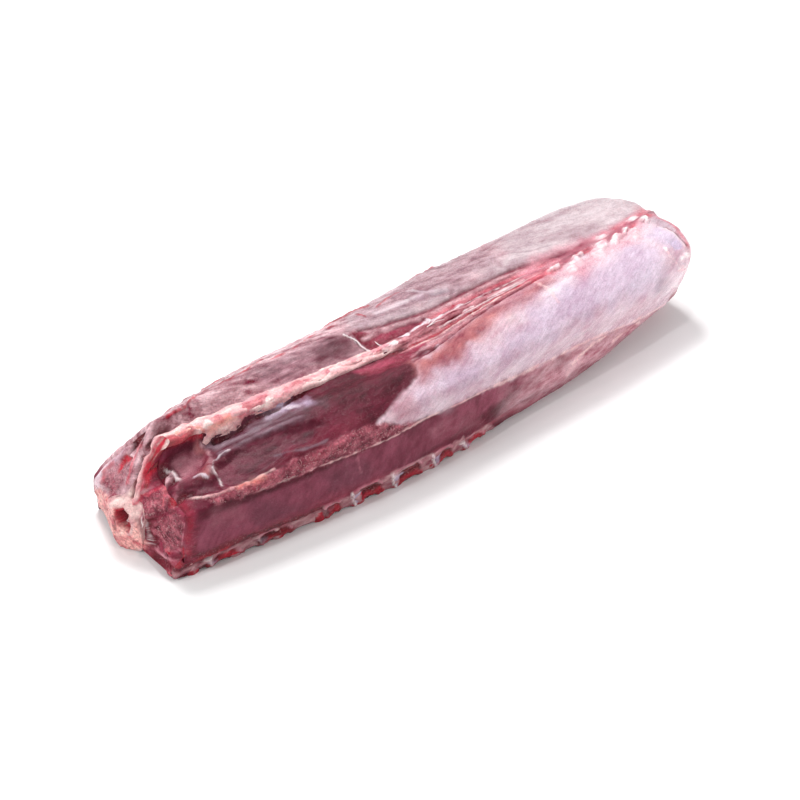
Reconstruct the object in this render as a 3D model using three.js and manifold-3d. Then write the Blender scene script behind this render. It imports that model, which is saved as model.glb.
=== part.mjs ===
// Roe deer saddle: both loins on the bone, from the sawn rib end to the rounded lumbar end, lying
// spine up. Millimetres, +X along the spine from the rib end to the lumbar end, +Z up. The origin
// is under the middle of the saddle, on the surface it lies on. Near is the -Y side, far the +Y side.
import * as THREE from "three";
import { mergeVertices } from "three/addons/utils/BufferGeometryUtils.js";
import Module from "manifold-3d";

// Driving dimensions. Each list gives a size at the STATIONS along the spine, rib end first.
// "out" is the distance from the middle of the spine to one side, "height" is above the surface.
const STATIONS = [-206, -166, -106, -36, 44, 114, 174, 217];
const SPINE_Y = [3, 1, -4, -8, -6, -5, -2, 3];
const RIDGE_HEIGHT = [64, 65, 65, 65, 66, 67, 67, 68];
const RIDGE_HALF_WIDTH = 3.5;
const RIDGE_DROP = 1;

const NEAR_SIDE = {
  sign: -1,
  valley: { out: [8, 9, 9, 10, 10, 10, 9, 8], height: [48, 54, 60, 63, 65, 66, 66, 65] },
  crown: { out: [22, 23, 24, 26, 27, 28, 29, 30], height: [46, 52, 60, 64, 67, 68, 67, 64] },
  shoulder: { out: [40, 42, 44, 45, 46, 46, 45, 43], height: [43, 47, 51, 54, 55, 55, 54, 53] },
  seam: { out: [44, 46, 47, 47, 45, 43, 40, 35], height: [38, 40, 41, 40, 37, 31, 25, 23] },
  edge: { out: [44, 46, 48, 47.5, 45, 41, 33, 26], height: [0, 0, 0, 0, 4, 8, 13, 18] },
};
const FAR_SIDE = {
  sign: 1,
  valley: { out: [8, 9, 9, 10, 10, 10, 9, 8], height: [56, 58, 61, 63, 65, 66, 66, 65] },
  crown: { out: [16, 19, 23, 26, 28, 28, 28, 28], height: [66, 67, 69, 69, 69, 68, 67, 66] },
  shoulder: { out: [31, 36, 44, 49, 54, 56, 57, 55], height: [45, 50, 57, 59, 61, 60, 58, 52] },
  seam: { out: [38, 41, 45, 49, 53, 55, 54, 49], height: [36, 37, 39, 40, 40, 37, 33, 30] },
  edge: { out: [44, 45, 46, 46, 45, 43, 41, 36], height: [0, 0, 0, 0, 3, 6, 10, 15] },
};
const FLANK_BULGE = 2.5;
const SEAM_PLACE = 5;

// Underneath: a chest wall with a hollow behind it at the rib end, a flat belly at the lumbar end.
const WALL_THICKNESS = [7, 7, 7, 7, 8, 9, 10, 10];
const WALL_FOOT_SHARE = 0.45;
const HOLLOW_SIDE = { out: [33, 34, 36, 36, 32, 27, 20, 15], height: [2, 10, 13, 11, 4, -0.5, -0.5, 4] };
const HOLLOW_TOP = { out: [25, 25, 26, 26, 20, 13, 12, 11], height: [2, 15, 20, 17, 7, -0.5, -0.5, 4] };
const HOLLOW_ROOT = { out: 9, height: [1, 14, 18, 15, 9, 6, 6, 8] };

// The lower band of the chest wall, where the flank muscle is trimmed off the ribs.
const RIB_BAND_HEIGHT = 12;
const RIB_BAND_STEP = 2.5;
const RIB_BAND_DEPTH = 2.6;
const RIB_BAND_END_X = 20;
const RIB_BAND_FADE = 40;
const SCALLOP_DEPTH = 1.3;

// The lumbar end is rounded over its last stretch, towards a point of this height on the spine.
const ROUND_START_X = 192;
const ROUND_LENGTH = 26;
const ROUND_CENTRE_HEIGHT = 34;
const ROUND_SHRINK = 0.82;
const ROUND_POWER = 3.2;
const ROUND_ROOT = 2.2;
const ROUND_SHARE = 0.75;
const ROUND_TOP_SHARE = 0.35;

// The sawn rib end: how far each part of it stands behind the first station. Distances from the
// middle of the spine count up towards the far side.
const CUT_BLEND_LENGTH = 60;
const CUT_BONE = -10;
const CUT_SLANT = { back: 6.5, from: -8, to: 12 };
const CUT_NEAR_LOIN = { back: 8, from: 13, to: 21, lowest: 3, full: 16 };
const CUT_FAR_WALL = { back: 6, from: 6, to: 34 };
const CUT_LEAN = { back: 31, from: 26, height: 38, most: 1.1, nearLoss: 0.6 };

// Backbone: vertebrae in a row, with the spinous processes and their ligament as one upright blade.
const KEEL_HEIGHT = [0.4, 0.6, 1, 1.5, 2, 2.5, 3, 4];
const KEEL_HALF_WIDTH = 6.5;
const KEEL_ROUND = 0.5;
const BODY_HALF_WIDTH = 11.5;
const BODY_RISE = 5;
const WING_UNDER = { inset: 1.5, drop: 7 };
const WING_OUT = [15, 13, 12.5, 12.5, 13, 13.5, 13.5, 13];
const WING_HEIGHT = [27, 22, 22, 22, 22, 22, 22, 22];
const ARCH = { out: 10.5, height: 31 };
const ARCH_TOP = { out: 4.5, height: 35 };
const BLADE_FOOT = { out: 2.2, height: 42 };
const BLADE_HALF_WIDTH = 2;
const BLADE_TOP_DROP = 9;
const TIP_DROP = { foot: 5, shoulder: 1.5 };
const TIP_HALF_WIDTH = [4.5, 4.5, 4.5, 4, 2.5, 1.8, 1.8, 1.8];
const TIP_PROUD = [1, 1.2, 1.2, 0.9, 0.5, -3, -3.2, -3.2];
const TIP_LUMP = 0.7;
const TIP_LUMP_PITCH = 23;
const WAIST_DEPTH = 1.1;
const VERTEBRA_FIRST_LENGTH = 24;
const VERTEBRA_LAST_LENGTH = 34;
const CANAL_HEIGHT = 24.5;
const CANAL_RADIUS = 6.2;
const CANAL_DEPTH = 8;
const BONE_PROUD = 1;
const UNDERSIDE_POINTS = 3;

// Ribs: sawn short, eight on each side.
const RIB_COUNT = 8;
const RIB_FIRST_X = -196.5;
const RIB_PITCH = 27.4;
const RIB_WIDTH = 8;
const RIB_THICKNESS = 4.6;
const RIB_SLANT = 1;
const RIB_HEAD_CLEAR = 2;
const RIB_HEAD_HEIGHT = 24.5;
const RIB_ARCH = [[23, 25.5], [31, 22.5]];
const RIB_SHAFT = [[5.8, 13.5], [3.7, 6]];
const RIB_FOOT_INSET = 3.5;

const GAP = 0.3;
const OVERRUN = 12;
const MERGE_DISTANCE = 1e-4;

// Mesh steps along the spine, and between one named line of the section and the next.
const LENGTH_STEPS = 50;
const SIDE_STEPS = [1, 2, 2, 2, 3, 2, 6];
const UNDER_STEPS = [2, 2, 2, 2];
const BACKBONE_STEPS = 40;
const RIB_STEPS = 6;
const RIB_SIDES = 8;
const TANGENT_REACH = 0.05;
const CANAL_SIDES = 16;

const MEAT_FINISH = { color: "#6f2f3c", roughness: 0.4, metalness: 0 };
const BONE_FINISH = { color: "#c58d86", roughness: 0.55, metalness: 0 };
const RIB_FINISH = { color: "#c9a09a", roughness: 0.5, metalness: 0 };

const clamp = THREE.MathUtils.clamp;
const lerp = THREE.MathUtils.lerp;
const smoothstep = THREE.MathUtils.smoothstep;

// A size at x: a cubic curve through its values at the stations.
function along(values, x) {
  if (typeof values === "number") return values;
  const last = STATIONS.length - 1;
  const place = clamp(x, STATIONS[0], STATIONS[last]);
  let i = 0;
  while (i < last - 1 && place > STATIONS[i + 1]) i += 1;
  const step = (k) => STATIONS[k + 1] - STATIONS[k];
  const slope = (k) => (values[k + 1] - values[k]) / step(k);
  const tangent = (k) => {
    if (k === 0) return slope(0);
    if (k === last) return slope(last - 1);
    return (slope(k - 1) * step(k) + slope(k) * step(k - 1)) / (step(k) + step(k - 1));
  };
  const t = (place - STATIONS[i]) / step(i);
  const rise = t * t * (3 - 2 * t);
  return lerp(values[i], values[i + 1], rise)
    + step(i) * (tangent(i) * t * (1 - t) ** 2 - tangent(i + 1) * t * t * (1 - t));
}

// A point on the smooth curve through the given points, at u counted in points.
function curvePoint(points, u) {
  const last = points.length - 1;
  const i = clamp(Math.floor(u), 0, last - 1);
  const t = u - i;
  const at = (k, axis) => {
    if (k < 0) return 2 * points[0][axis] - points[1][axis];
    if (k > last) return 2 * points[last][axis] - points[last - 1][axis];
    return points[k][axis];
  };
  return [0, 1].map((axis) => {
    const [a, b, c, d] = [i - 1, i, i + 1, i + 2].map((k) => at(k, axis));
    return 0.5 * (2 * b + (c - a) * t + (2 * a - 5 * b + 4 * c - d) * t ** 2
      + (3 * b - a - 3 * c + d) * t ** 3);
  });
}

// Where a section point [out, height] lies once the lumbar end is rounded off, less so at the top.
function roundOff([out, height], x) {
  const reach = clamp((x - ROUND_START_X) / ROUND_LENGTH, 0, 1);
  const full = (1 - ROUND_SHRINK * reach ** ROUND_POWER) ** (1 / ROUND_ROOT);
  const loss = ROUND_SHARE * (1 - full);
  const rise = height - ROUND_CENTRE_HEIGHT;
  const heightLoss = rise > 0 ? ROUND_TOP_SHARE * loss : loss;
  return [out * (1 - loss), ROUND_CENTRE_HEIGHT + rise * (1 - heightLoss)];
}

// How far the sawn rib end stands behind the first station, at a distance to the far side and a height.
function cutBack(far, height) {
  const slant = CUT_SLANT.back * smoothstep(-far, CUT_SLANT.from, CUT_SLANT.to);
  const nearLoin = smoothstep(-far, CUT_NEAR_LOIN.from, CUT_NEAR_LOIN.to)
    * smoothstep(height, CUT_NEAR_LOIN.lowest, CUT_NEAR_LOIN.full);
  const farWall = CUT_FAR_WALL.back * smoothstep(far, CUT_FAR_WALL.from, CUT_FAR_WALL.to);
  const lean = CUT_LEAN.back * clamp((height - CUT_LEAN.from) / CUT_LEAN.height, 0, CUT_LEAN.most);
  return CUT_BONE + slant + CUT_NEAR_LOIN.back * nearLoin + farWall
    + lean * (1 - CUT_LEAN.nearLoss * nearLoin);
}

// A point of the saddle from its place along the spine, its side and its section point.
function place(x, sign, [out, height]) {
  const far = sign * out;
  const blend = 1 - smoothstep(x, STATIONS[0], STATIONS[0] + CUT_BLEND_LENGTH);
  return new THREE.Vector3(x + blend * cutBack(far, height), along(SPINE_Y, x) + far, Math.max(height, 0));
}

// 1 midway between two ribs and 0 on a rib, fading out behind the last one.
function betweenRibs(x) {
  const phase = (x - RIB_FIRST_X) / RIB_PITCH;
  const fade = 1 - smoothstep(x, RIB_BAND_END_X, RIB_BAND_END_X + RIB_BAND_FADE);
  return fade * (0.5 - 0.5 * Math.cos(2 * Math.PI * phase));
}

// The outside of one side, at u from 0 on the ridge to 7 on the lower edge; the seam is at SEAM_PLACE.
function outside(side, x, u) {
  const line = (name) => [along(side[name].out, x), along(side[name].height, x)];
  const ridge = along(RIDGE_HEIGHT, x);
  const [seam, edge] = [line("seam"), line("edge")];
  const flank = [(seam[0] + edge[0]) / 2 + FLANK_BULGE, (seam[1] + edge[1]) / 2];
  const points = [[0, ridge], [RIDGE_HALF_WIDTH, ridge - RIDGE_DROP], line("valley"), line("crown"),
    line("shoulder"), seam, flank, edge];
  const [out, height] = curvePoint(points, u);
  const bandFade = 1 - smoothstep(x, RIB_BAND_END_X, RIB_BAND_END_X + RIB_BAND_FADE);
  const aboveEdge = height - edge[1];
  if (u <= SEAM_PLACE) return roundOff([out, height], x);
  const inBand = 1 - smoothstep(aboveEdge, RIB_BAND_HEIGHT - RIB_BAND_STEP, RIB_BAND_HEIGHT);
  const lift = SCALLOP_DEPTH * betweenRibs(x) * (1 - clamp(aboveEdge / RIB_BAND_HEIGHT, 0, 1));
  return roundOff([out - RIB_BAND_DEPTH * bandFade * inBand, height + lift], x);
}

// The underside of one side, from the inside of the wall's foot to the spine, at u from 0 to 4.
function underside(side, x, u) {
  const edge = [along(side.edge.out, x), along(side.edge.height, x)];
  const foot = [edge[0] - along(WALL_THICKNESS, x), edge[1] * WALL_FOOT_SHARE + SCALLOP_DEPTH * betweenRibs(x)];
  const wide = side === FAR_SIDE ? edge[0] / along(NEAR_SIDE.edge.out, x) : 1;
  const root = along(HOLLOW_ROOT.height, x);
  const points = [foot,
    [along(HOLLOW_SIDE.out, x) * wide, along(HOLLOW_SIDE.height, x)],
    [along(HOLLOW_TOP.out, x) * wide, along(HOLLOW_TOP.height, x)],
    [HOLLOW_ROOT.out, root], [0, root]];
  return roundOff(curvePoint(points, u), x);
}

// The values of u between 0 and the number of stretches, with the given count of steps in each.
function samples(steps) {
  return [0, ...steps.flatMap((count, i) => Array.from({ length: count }, (_, k) => i + (k + 1) / count))];
}

// A closed mesh collected triangle by triangle, then merged where its points meet.
class ClosedMesh {
  positions = [];

  // Leaves out the triangles that two points in one place would flatten to a line.
  triangle(a, b, c) {
    if (a.equals(b) || b.equals(c) || c.equals(a)) return;
    this.positions.push(a.x, a.y, a.z, b.x, b.y, b.z, c.x, c.y, c.z);
  }

  // Fills the strip between two rows of points that may differ in number.
  strip(first, second) {
    let [i, j] = [0, 0];
    while (i < first.length - 1 || j < second.length - 1) {
      const nextFirst = (i + 1) / (first.length - 1);
      const nextSecond = (j + 1) / (second.length - 1);
      if (j === second.length - 1 || (i < first.length - 1 && nextFirst <= nextSecond)) {
        this.triangle(first[i], second[j], first[i + 1]);
        i += 1;
      } else {
        this.triangle(first[i], second[j], second[j + 1]);
        j += 1;
      }
    }
  }

  // Fills the strips between a row of points and the next, over all the rows.
  rows(rows) {
    rows.slice(1).forEach((row, i) => this.strip(rows[i], row));
  }

  solid(wasm) {
    const loose = new THREE.BufferGeometry();
    loose.setAttribute("position", new THREE.Float32BufferAttribute(this.positions, 3));
    const merged = mergeVertices(loose, MERGE_DISTANCE);
    return new wasm.Manifold(new wasm.Mesh({
      numProp: 3,
      vertProperties: merged.attributes.position.array,
      triVerts: new Uint32Array(merged.index.array),
    }));
  }
}

// The whole outer form of the saddle, with no slot for bones yet.
function meatForm(wasm) {
  const xs = Array.from({ length: LENGTH_STEPS + 1 },
    (_, i) => lerp(STATIONS[0], STATIONS[STATIONS.length - 1], i / LENGTH_STEPS));
  const us = samples(SIDE_STEPS);
  const vs = samples(UNDER_STEPS);
  const outer = xs.map((x) => [
    ...us.slice(1).reverse().map((u) => place(x, NEAR_SIDE.sign, outside(NEAR_SIDE, x, u))),
    ...us.map((u) => place(x, FAR_SIDE.sign, outside(FAR_SIDE, x, u))),
  ]);
  const under = xs.map((x) => [
    ...vs.map((v) => place(x, NEAR_SIDE.sign, underside(NEAR_SIDE, x, v))),
    ...vs.slice(0, -1).reverse().map((v) => place(x, FAR_SIDE.sign, underside(FAR_SIDE, x, v))),
  ]);
  const mesh = new ClosedMesh();
  mesh.rows(outer);
  mesh.rows([...under].reverse());
  mesh.rows([outer.map((row) => row[0]), under.map((row) => row[0])]);
  mesh.rows([under.map((row) => row.at(-1)), outer.map((row) => row.at(-1))]);
  mesh.rows([under[0], outer[0]]);
  mesh.rows([outer.at(-1), under.at(-1)]);
  return mesh.solid(wasm);
}

// How many vertebrae lie between the rib end and x: they grow longer towards the lumbar end.
function vertebraCount(x) {
  const share = (x - STATIONS[0]) / (STATIONS.at(-1) - STATIONS[0]);
  const mean = lerp(VERTEBRA_FIRST_LENGTH, VERTEBRA_LAST_LENGTH, share / 2);
  return (x - STATIONS[0]) / mean;
}

// One half of the backbone's section at x, from the keel up to the tip of the blade. Growing it
// lowers the first UNDERSIDE_POINTS of the points between them too.
function backboneProfile(x, grow) {
  const waist = WAIST_DEPTH * (0.5 - 0.5 * Math.cos(2 * Math.PI * vertebraCount(x)));
  const lump = TIP_LUMP * Math.cos((2 * Math.PI * x) / TIP_LUMP_PITCH);
  const keel = along(KEEL_HEIGHT, x) + waist;
  const [, ridge] = outside(FAR_SIDE, x, 0);
  const top = ridge + along(TIP_PROUD, x) + lump;
  const tip = along(TIP_HALF_WIDTH, x);
  const wing = [along(WING_OUT, x), along(WING_HEIGHT, x)];
  const low = [[KEEL_HALF_WIDTH, keel + KEEL_ROUND], [BODY_HALF_WIDTH - waist, keel + BODY_RISE],
    [wing[0] - WING_UNDER.inset, wing[1] - WING_UNDER.drop], wing, [ARCH.out, ARCH.height],
    [ARCH_TOP.out, ARCH_TOP.height], [BLADE_FOOT.out, BLADE_FOOT.height]].map((point) => roundOff(point, x));
  const high = [[BLADE_HALF_WIDTH, top - BLADE_TOP_DROP], [tip, top - TIP_DROP.foot],
    [tip, top - TIP_DROP.shoulder]];
  const bottom = roundOff([0, keel], x)[1];
  return [[0, bottom - grow], ...[...low, ...high].map(([out, height], i) => {
    const fall = i < UNDERSIDE_POINTS ? -grow : 0;
    return [out + grow, height + fall];
  }), [0, top + grow]];
}

// The backbone as a solid, grown all round by a gap and run on past both ends. Each section is a
// near and a far half, and each end is closed by the strip between its two halves.
function backboneForm(wasm, grow, overrun) {
  const sections = Array.from({ length: BACKBONE_STEPS + 1 }, (_, i) => {
    const x = lerp(STATIONS[0], STATIONS.at(-1), i / BACKBONE_STEPS);
    const half = backboneProfile(x, grow);
    return [NEAR_SIDE, FAR_SIDE].map((side) => half.map((point) => place(x, side.sign, point)));
  });
  const moved = (section, distance) => section.map((half) => half.map(
    (point) => new THREE.Vector3(point.x + distance, point.y, point.z)));
  sections[0] = moved(sections[0], -BONE_PROUD);
  const whole = overrun > 0
    ? [moved(sections[0], -overrun), ...sections, moved(sections.at(-1), overrun)] : sections;
  const mesh = new ClosedMesh();
  mesh.rows(whole.map(([near]) => near));
  mesh.rows(whole.map(([, far]) => far).reverse());
  mesh.strip(whole[0][1], whole[0][0]);
  mesh.strip(whole.at(-1)[0], whole.at(-1)[1]);
  return mesh.solid(wasm);
}

// The spinal canal, sunk a little way into one end.
function canalForm(wasm, endX, direction) {
  const length = CANAL_DEPTH + OVERRUN;
  const geometry = new THREE.CylinderGeometry(CANAL_RADIUS, CANAL_RADIUS, length, CANAL_SIDES);
  geometry.rotateZ(Math.PI / 2);
  geometry.deleteAttribute("normal");
  geometry.deleteAttribute("uv");
  const x = endX - direction * (CANAL_DEPTH - length / 2);
  const [, height] = roundOff([0, CANAL_HEIGHT], endX);
  geometry.translate(x, along(SPINE_Y, endX), height);
  const merged = mergeVertices(geometry, MERGE_DISTANCE);
  return new wasm.Manifold(new wasm.Mesh({
    numProp: 3,
    vertProperties: merged.attributes.position.array,
    triVerts: new Uint32Array(merged.index.array),
  }));
}

// One rib as a bent bar of oval section, from beside the backbone to the foot of the chest wall.
function ribForm(wasm, side, index, grow, overrun) {
  const footX = RIB_FIRST_X + index * RIB_PITCH;
  const edge = along(side.edge.out, footX);
  const path = [[along(WING_OUT, footX) + RIB_HEAD_CLEAR, RIB_HEAD_HEIGHT], ...RIB_ARCH,
    ...RIB_SHAFT.map(([inset, height]) => [edge - inset, height]), [edge - RIB_FOOT_INSET, 0]];
  const rings = Array.from({ length: RIB_STEPS + 1 }, (_, i) => {
    const last = path.length - 1;
    const u = (i / RIB_STEPS) * last;
    const [out, height] = curvePoint(path, u);
    const before = curvePoint(path, Math.max(u - TANGENT_REACH, 0));
    const after = curvePoint(path, Math.min(u + TANGENT_REACH, last));
    const tangent = new THREE.Vector2(after[0] - before[0], after[1] - before[1]).normalize();
    const x = footX - RIB_SLANT * index * (1 - i / RIB_STEPS);
    const spine = along(SPINE_Y, x);
    return Array.from({ length: RIB_SIDES }, (_unused, k) => {
      const angle = (2 * Math.PI * (k + 0.5)) / RIB_SIDES;
      const wide = (RIB_WIDTH / 2 + grow) * Math.cos(angle);
      const thick = (RIB_THICKNESS / 2 + grow) * Math.sin(angle);
      const point = new THREE.Vector3(x + wide, out - tangent.y * thick, height + tangent.x * thick);
      if (i === RIB_STEPS) point.z = 0;
      if (i === 0) point.y -= grow;
      point.y = spine + side.sign * point.y;
      return point;
    });
  });
  if (overrun > 0) rings.push(rings.at(-1).map((point) => new THREE.Vector3(point.x, point.y, -overrun)));
  const mesh = new ClosedMesh();
  const closed = rings.map((ring) => [...ring, ring[0]]);
  const ordered = side.sign > 0 ? closed : [...closed].reverse();
  mesh.rows(ordered);
  const [first, last] = [ordered[0], ordered.at(-1)];
  for (let k = 1; k < RIB_SIDES - 1; k += 1) {
    mesh.triangle(first[0], first[k], first[k + 1]);
    mesh.triangle(last[0], last[k + 1], last[k]);
  }
  return mesh.solid(wasm);
}

// A named mesh of a solid, with its finish.
function namedMesh(name, solid, finish) {
  const shape = solid.getMesh();
  const geometry = new THREE.BufferGeometry();
  geometry.setAttribute("position", new THREE.BufferAttribute(shape.vertProperties, 3));
  geometry.setIndex(new THREE.BufferAttribute(shape.triVerts, 1));
  geometry.computeVertexNormals();
  const mesh = new THREE.Mesh(geometry, new THREE.MeshStandardMaterial(finish));
  mesh.name = name;
  return mesh;
}

const wasm = await Module();
wasm.setup();

const ribEndCanal = canalForm(wasm, STATIONS[0] + CUT_BONE, -1);
const lumbarEndCanal = canalForm(wasm, STATIONS.at(-1), 1);
let meat = meatForm(wasm).subtract(backboneForm(wasm, GAP, OVERRUN));
const backbone = backboneForm(wasm, 0, 0).subtract(ribEndCanal).subtract(lumbarEndCanal);

const saddle = new THREE.Group();
saddle.name = "roe_deer_saddle";
saddle.add(namedMesh("backbone", backbone, BONE_FINISH));
for (const [sideName, side] of [["near", NEAR_SIDE], ["far", FAR_SIDE]]) {
  for (let index = 0; index < RIB_COUNT; index += 1) {
    meat = meat.subtract(ribForm(wasm, side, index, GAP, OVERRUN));
    const rib = ribForm(wasm, side, index, 0, 0);
    saddle.add(namedMesh(`rib_${sideName}_${index + 1}`, rib, RIB_FINISH));
  }
}
saddle.add(namedMesh("saddle_meat", meat, MEAT_FINISH));

export default saddle;
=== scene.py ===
"""Roe deer saddle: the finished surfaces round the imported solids, and the studio that shows them.

The saddle lies spine up, with its sawn rib end at -X and its rounded lumbar end at +X. Near is the -Y
side and far is the +Y side. Sums are in millimetres, and a mesh gets metres when it is made.

A station is a place along the spine. A place on a side's section counts that side's named lines: 0 is
the ridge, 1 its edge, 2 the valley, 3 the crown, 4 the shoulder, 5 the seam between the loin and the
chest wall, 6 the flank and 7 the lower edge.
"""
import logging
import math
from dataclasses import dataclass, field
from enum import Enum

import bpy
import numpy as np
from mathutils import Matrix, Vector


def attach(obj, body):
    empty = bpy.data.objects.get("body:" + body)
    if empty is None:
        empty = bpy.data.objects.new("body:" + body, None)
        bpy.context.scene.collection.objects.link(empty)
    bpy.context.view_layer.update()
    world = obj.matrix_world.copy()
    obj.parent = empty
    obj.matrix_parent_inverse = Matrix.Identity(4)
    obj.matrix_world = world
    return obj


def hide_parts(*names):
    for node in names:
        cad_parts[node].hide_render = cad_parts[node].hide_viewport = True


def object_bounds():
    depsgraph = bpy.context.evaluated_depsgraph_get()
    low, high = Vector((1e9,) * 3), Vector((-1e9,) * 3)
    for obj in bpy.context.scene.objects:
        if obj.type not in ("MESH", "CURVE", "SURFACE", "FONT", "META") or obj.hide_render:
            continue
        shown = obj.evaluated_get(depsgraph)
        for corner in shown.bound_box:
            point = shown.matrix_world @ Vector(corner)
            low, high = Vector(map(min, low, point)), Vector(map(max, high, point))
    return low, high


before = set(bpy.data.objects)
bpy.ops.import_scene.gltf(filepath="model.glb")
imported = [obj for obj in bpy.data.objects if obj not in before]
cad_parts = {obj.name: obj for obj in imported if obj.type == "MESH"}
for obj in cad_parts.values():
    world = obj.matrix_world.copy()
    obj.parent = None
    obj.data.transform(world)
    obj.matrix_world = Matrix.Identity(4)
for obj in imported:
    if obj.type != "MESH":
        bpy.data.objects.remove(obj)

CAD_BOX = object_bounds()
MM = 0.001
TINY = 1e-9
BODY = "root"
LOG = logging.getLogger("saddle")
Places = tuple[tuple[float, float], ...]
Values = tuple[float, ...]

# Noise makes a cell's random number of its place: each whole number times a prime, joined and scrambled.
AXIS_PRIMES = (73856093, 19349663, 83492791)
SEED_PRIME = 374761393
SCRAMBLE_PRIME = 1274126177
WORD = 0xFFFFFFFF
HALF_WORD = 0xFFFF
OCTAVE_STRENGTH = 0.55
OCTAVE_SHIFT = 11.7
NOISE_GAIN = 1.5


def ease(value: np.ndarray, low: float, high: float) -> np.ndarray:
    """A smooth step: 0 up to low, 1 from high on, and 3 t squared less 2 t cubed between them.

    Args:
        value: The numbers to step.
        low: Where the step starts.
        high: Where it ends.

    Returns:
        The stepped numbers.
    """
    t = np.clip((np.asarray(value, float) - low) / (high - low), 0, 1)
    return t * t * (3 - 2 * t)


def mix(first: np.ndarray, second: np.ndarray, share: np.ndarray) -> np.ndarray:
    """The first array moved towards the second by the share given for each point."""
    return first + (second - first) * np.asarray(share)[..., None]


def wave(turns: np.ndarray) -> np.ndarray:
    """A cosine wave from 0 at whole turns to 1 midway between them."""
    return 0.5 - 0.5 * np.cos(2 * np.pi * turns)


def linear(colour: str) -> np.ndarray:
    """Turns an sRGB hex colour into its three linear parts.

    Args:
        colour: Six hex digits after a #.

    Returns:
        Red, green and blue from 0 to 1, linear.
    """
    parts = np.array([int(colour[i:i + 2], 16) for i in (1, 3, 5)]) / 255
    return np.where(parts <= 0.04045, parts / 12.92, ((parts + 0.055) / 1.055) ** 2.4)


def noise(places: np.ndarray, size: float | Values, seed: int, octaves: int) -> np.ndarray:
    """Smooth noise: random numbers at a cell's eight corners, blended by an eased share along each axis.

    Each further octave has half the cell and is weaker than the one before.

    Args:
        places: Places in mm, with three numbers in the last axis, or two on a flat sheet.
        size: The first octave's cell in mm, one number or one for each axis.
        seed: Which pattern.
        octaves: How many patterns are added up.

    Returns:
        Numbers of about -1 to 1.
    """
    if places.shape[-1] == 2:
        places = np.concatenate([places, np.zeros(places.shape[:-1] + (1,))], axis=-1)
        size = (*size, 1.0)
    total = np.zeros(places.shape[:-1])
    strength, whole = 1.0, 0.0
    for octave in range(octaves):
        place = places / (np.asarray(size, float) / 2 ** octave) + OCTAVE_SHIFT * octave
        cell = np.floor(place).astype(np.int64)
        share = ease(place - cell, 0, 1)
        keys = [[(cell[..., axis] + bit) * AXIS_PRIMES[axis] for bit in (0, 1)] for axis in range(3)]
        shares = [[1 - share[..., axis], share[..., axis]] for axis in range(3)]
        for corner in range(8):
            i, j, k = corner & 1, (corner >> 1) & 1, corner >> 2
            key = (keys[0][i] ^ keys[1][j] ^ keys[2][k] ^ ((seed + octave) * SEED_PRIME)) & WORD
            key = ((key ^ (key >> 13)) * SCRAMBLE_PRIME) & WORD
            value = ((key ^ (key >> 16)) & HALF_WORD) / (HALF_WORD / 2) - 1
            total += strength * shares[0][i] * shares[1][j] * shares[2][k] * value
        whole += strength
        strength *= OCTAVE_STRENGTH
    return np.clip(NOISE_GAIN * total / whole, -1, 1)


@dataclass(frozen=True)
class Pattern:
    """A noise pattern: its cell in mm, which one it is, its octaves, and how high it stands."""

    size: float | Values
    seed: int
    octaves: int = 2
    height: float = 1.0
    by_grain: float = 0.0

    def at(self, places: np.ndarray, grain: np.ndarray | float = 0.0) -> np.ndarray:
        """The pattern at each place, higher where the tissue there is grainier."""
        return (self.height + self.by_grain * grain) * noise(places, self.size, self.seed, self.octaves)


def line_distance(flat: np.ndarray, places: np.ndarray, closed: bool) -> np.ndarray:
    """The distance from each point to a line of straight stretches, as the least over the stretches.

    Args:
        flat: Points, two numbers each.
        places: The corners of the line.
        closed: Whether its last corner joins its first.

    Returns:
        A distance for each point.
    """
    ends = np.roll(places, -1, axis=0) if closed else places[1:]
    least = np.full(len(flat), np.inf)
    for start, end in zip(places, ends):
        along = end - start
        share = np.clip((flat - start) @ along / max(along @ along, TINY), 0, 1)
        least = np.minimum(least, np.linalg.norm(flat - start - share[:, None] * along, axis=1))
    return least


def patch_depth(flat: np.ndarray, places: np.ndarray) -> np.ndarray:
    """How deep each point lies inside a closed outline, below 0 outside it.

    A point is inside where a level line from it crosses the outline an odd number of times.

    Args:
        flat: Points, two numbers each.
        places: The outline's corners.

    Returns:
        A signed distance for each point.
    """
    inside = np.zeros(len(flat), bool)
    for start, end in zip(places, np.roll(places, -1, axis=0)):
        spans = (start[1] > flat[:, 1]) != (end[1] > flat[:, 1])
        rise = end[1] - start[1] if end[1] != start[1] else TINY
        crossing = start[0] + (flat[:, 1] - start[1]) / rise * (end[0] - start[0])
        inside ^= spans & (flat[:, 0] < crossing)
    distance = line_distance(flat, places, True)
    return np.where(inside, distance, -distance)


def curve_point(points: np.ndarray, u: np.ndarray) -> np.ndarray:
    """A point on the smooth curve through the given points, at u counted in points.

    Between two points it is the Catmull-Rom cubic of these two and their neighbours. One more point is
    added at each end, as far past the last as the one before it is inside.

    Args:
        points: The curve's points, first axis the point, second the coordinate, then any shape that fits u.
        u: Where on the curve.

    Returns:
        The two coordinates in the first axis.
    """
    points = np.concatenate([2 * points[:1] - points[1:2], points, 2 * points[-1:] - points[-2:-1]])
    last = points.shape[0] - 3
    i = np.clip(np.floor(u).astype(int), 0, last - 1)
    t = u - i
    a, b, c, d = (
        np.stack([np.take_along_axis(points[:, axis], (i + k)[None], 0)[0] for axis in (0, 1)])
        for k in range(4)
    )
    return 0.5 * (2 * b + (c - a) * t + (2 * a - 5 * b + 4 * c - d) * t ** 2
                  + (3 * b - a - 3 * c + d) * t ** 3)


class Side(Enum):
    """The two sides of the spine, by the sign of their Y."""

    NEAR = -1
    FAR = 1


@dataclass(frozen=True)
class Line:
    """One named line of the saddle along its length: how far out and how high it runs at the stations."""

    out: Values
    height: Values


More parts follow.
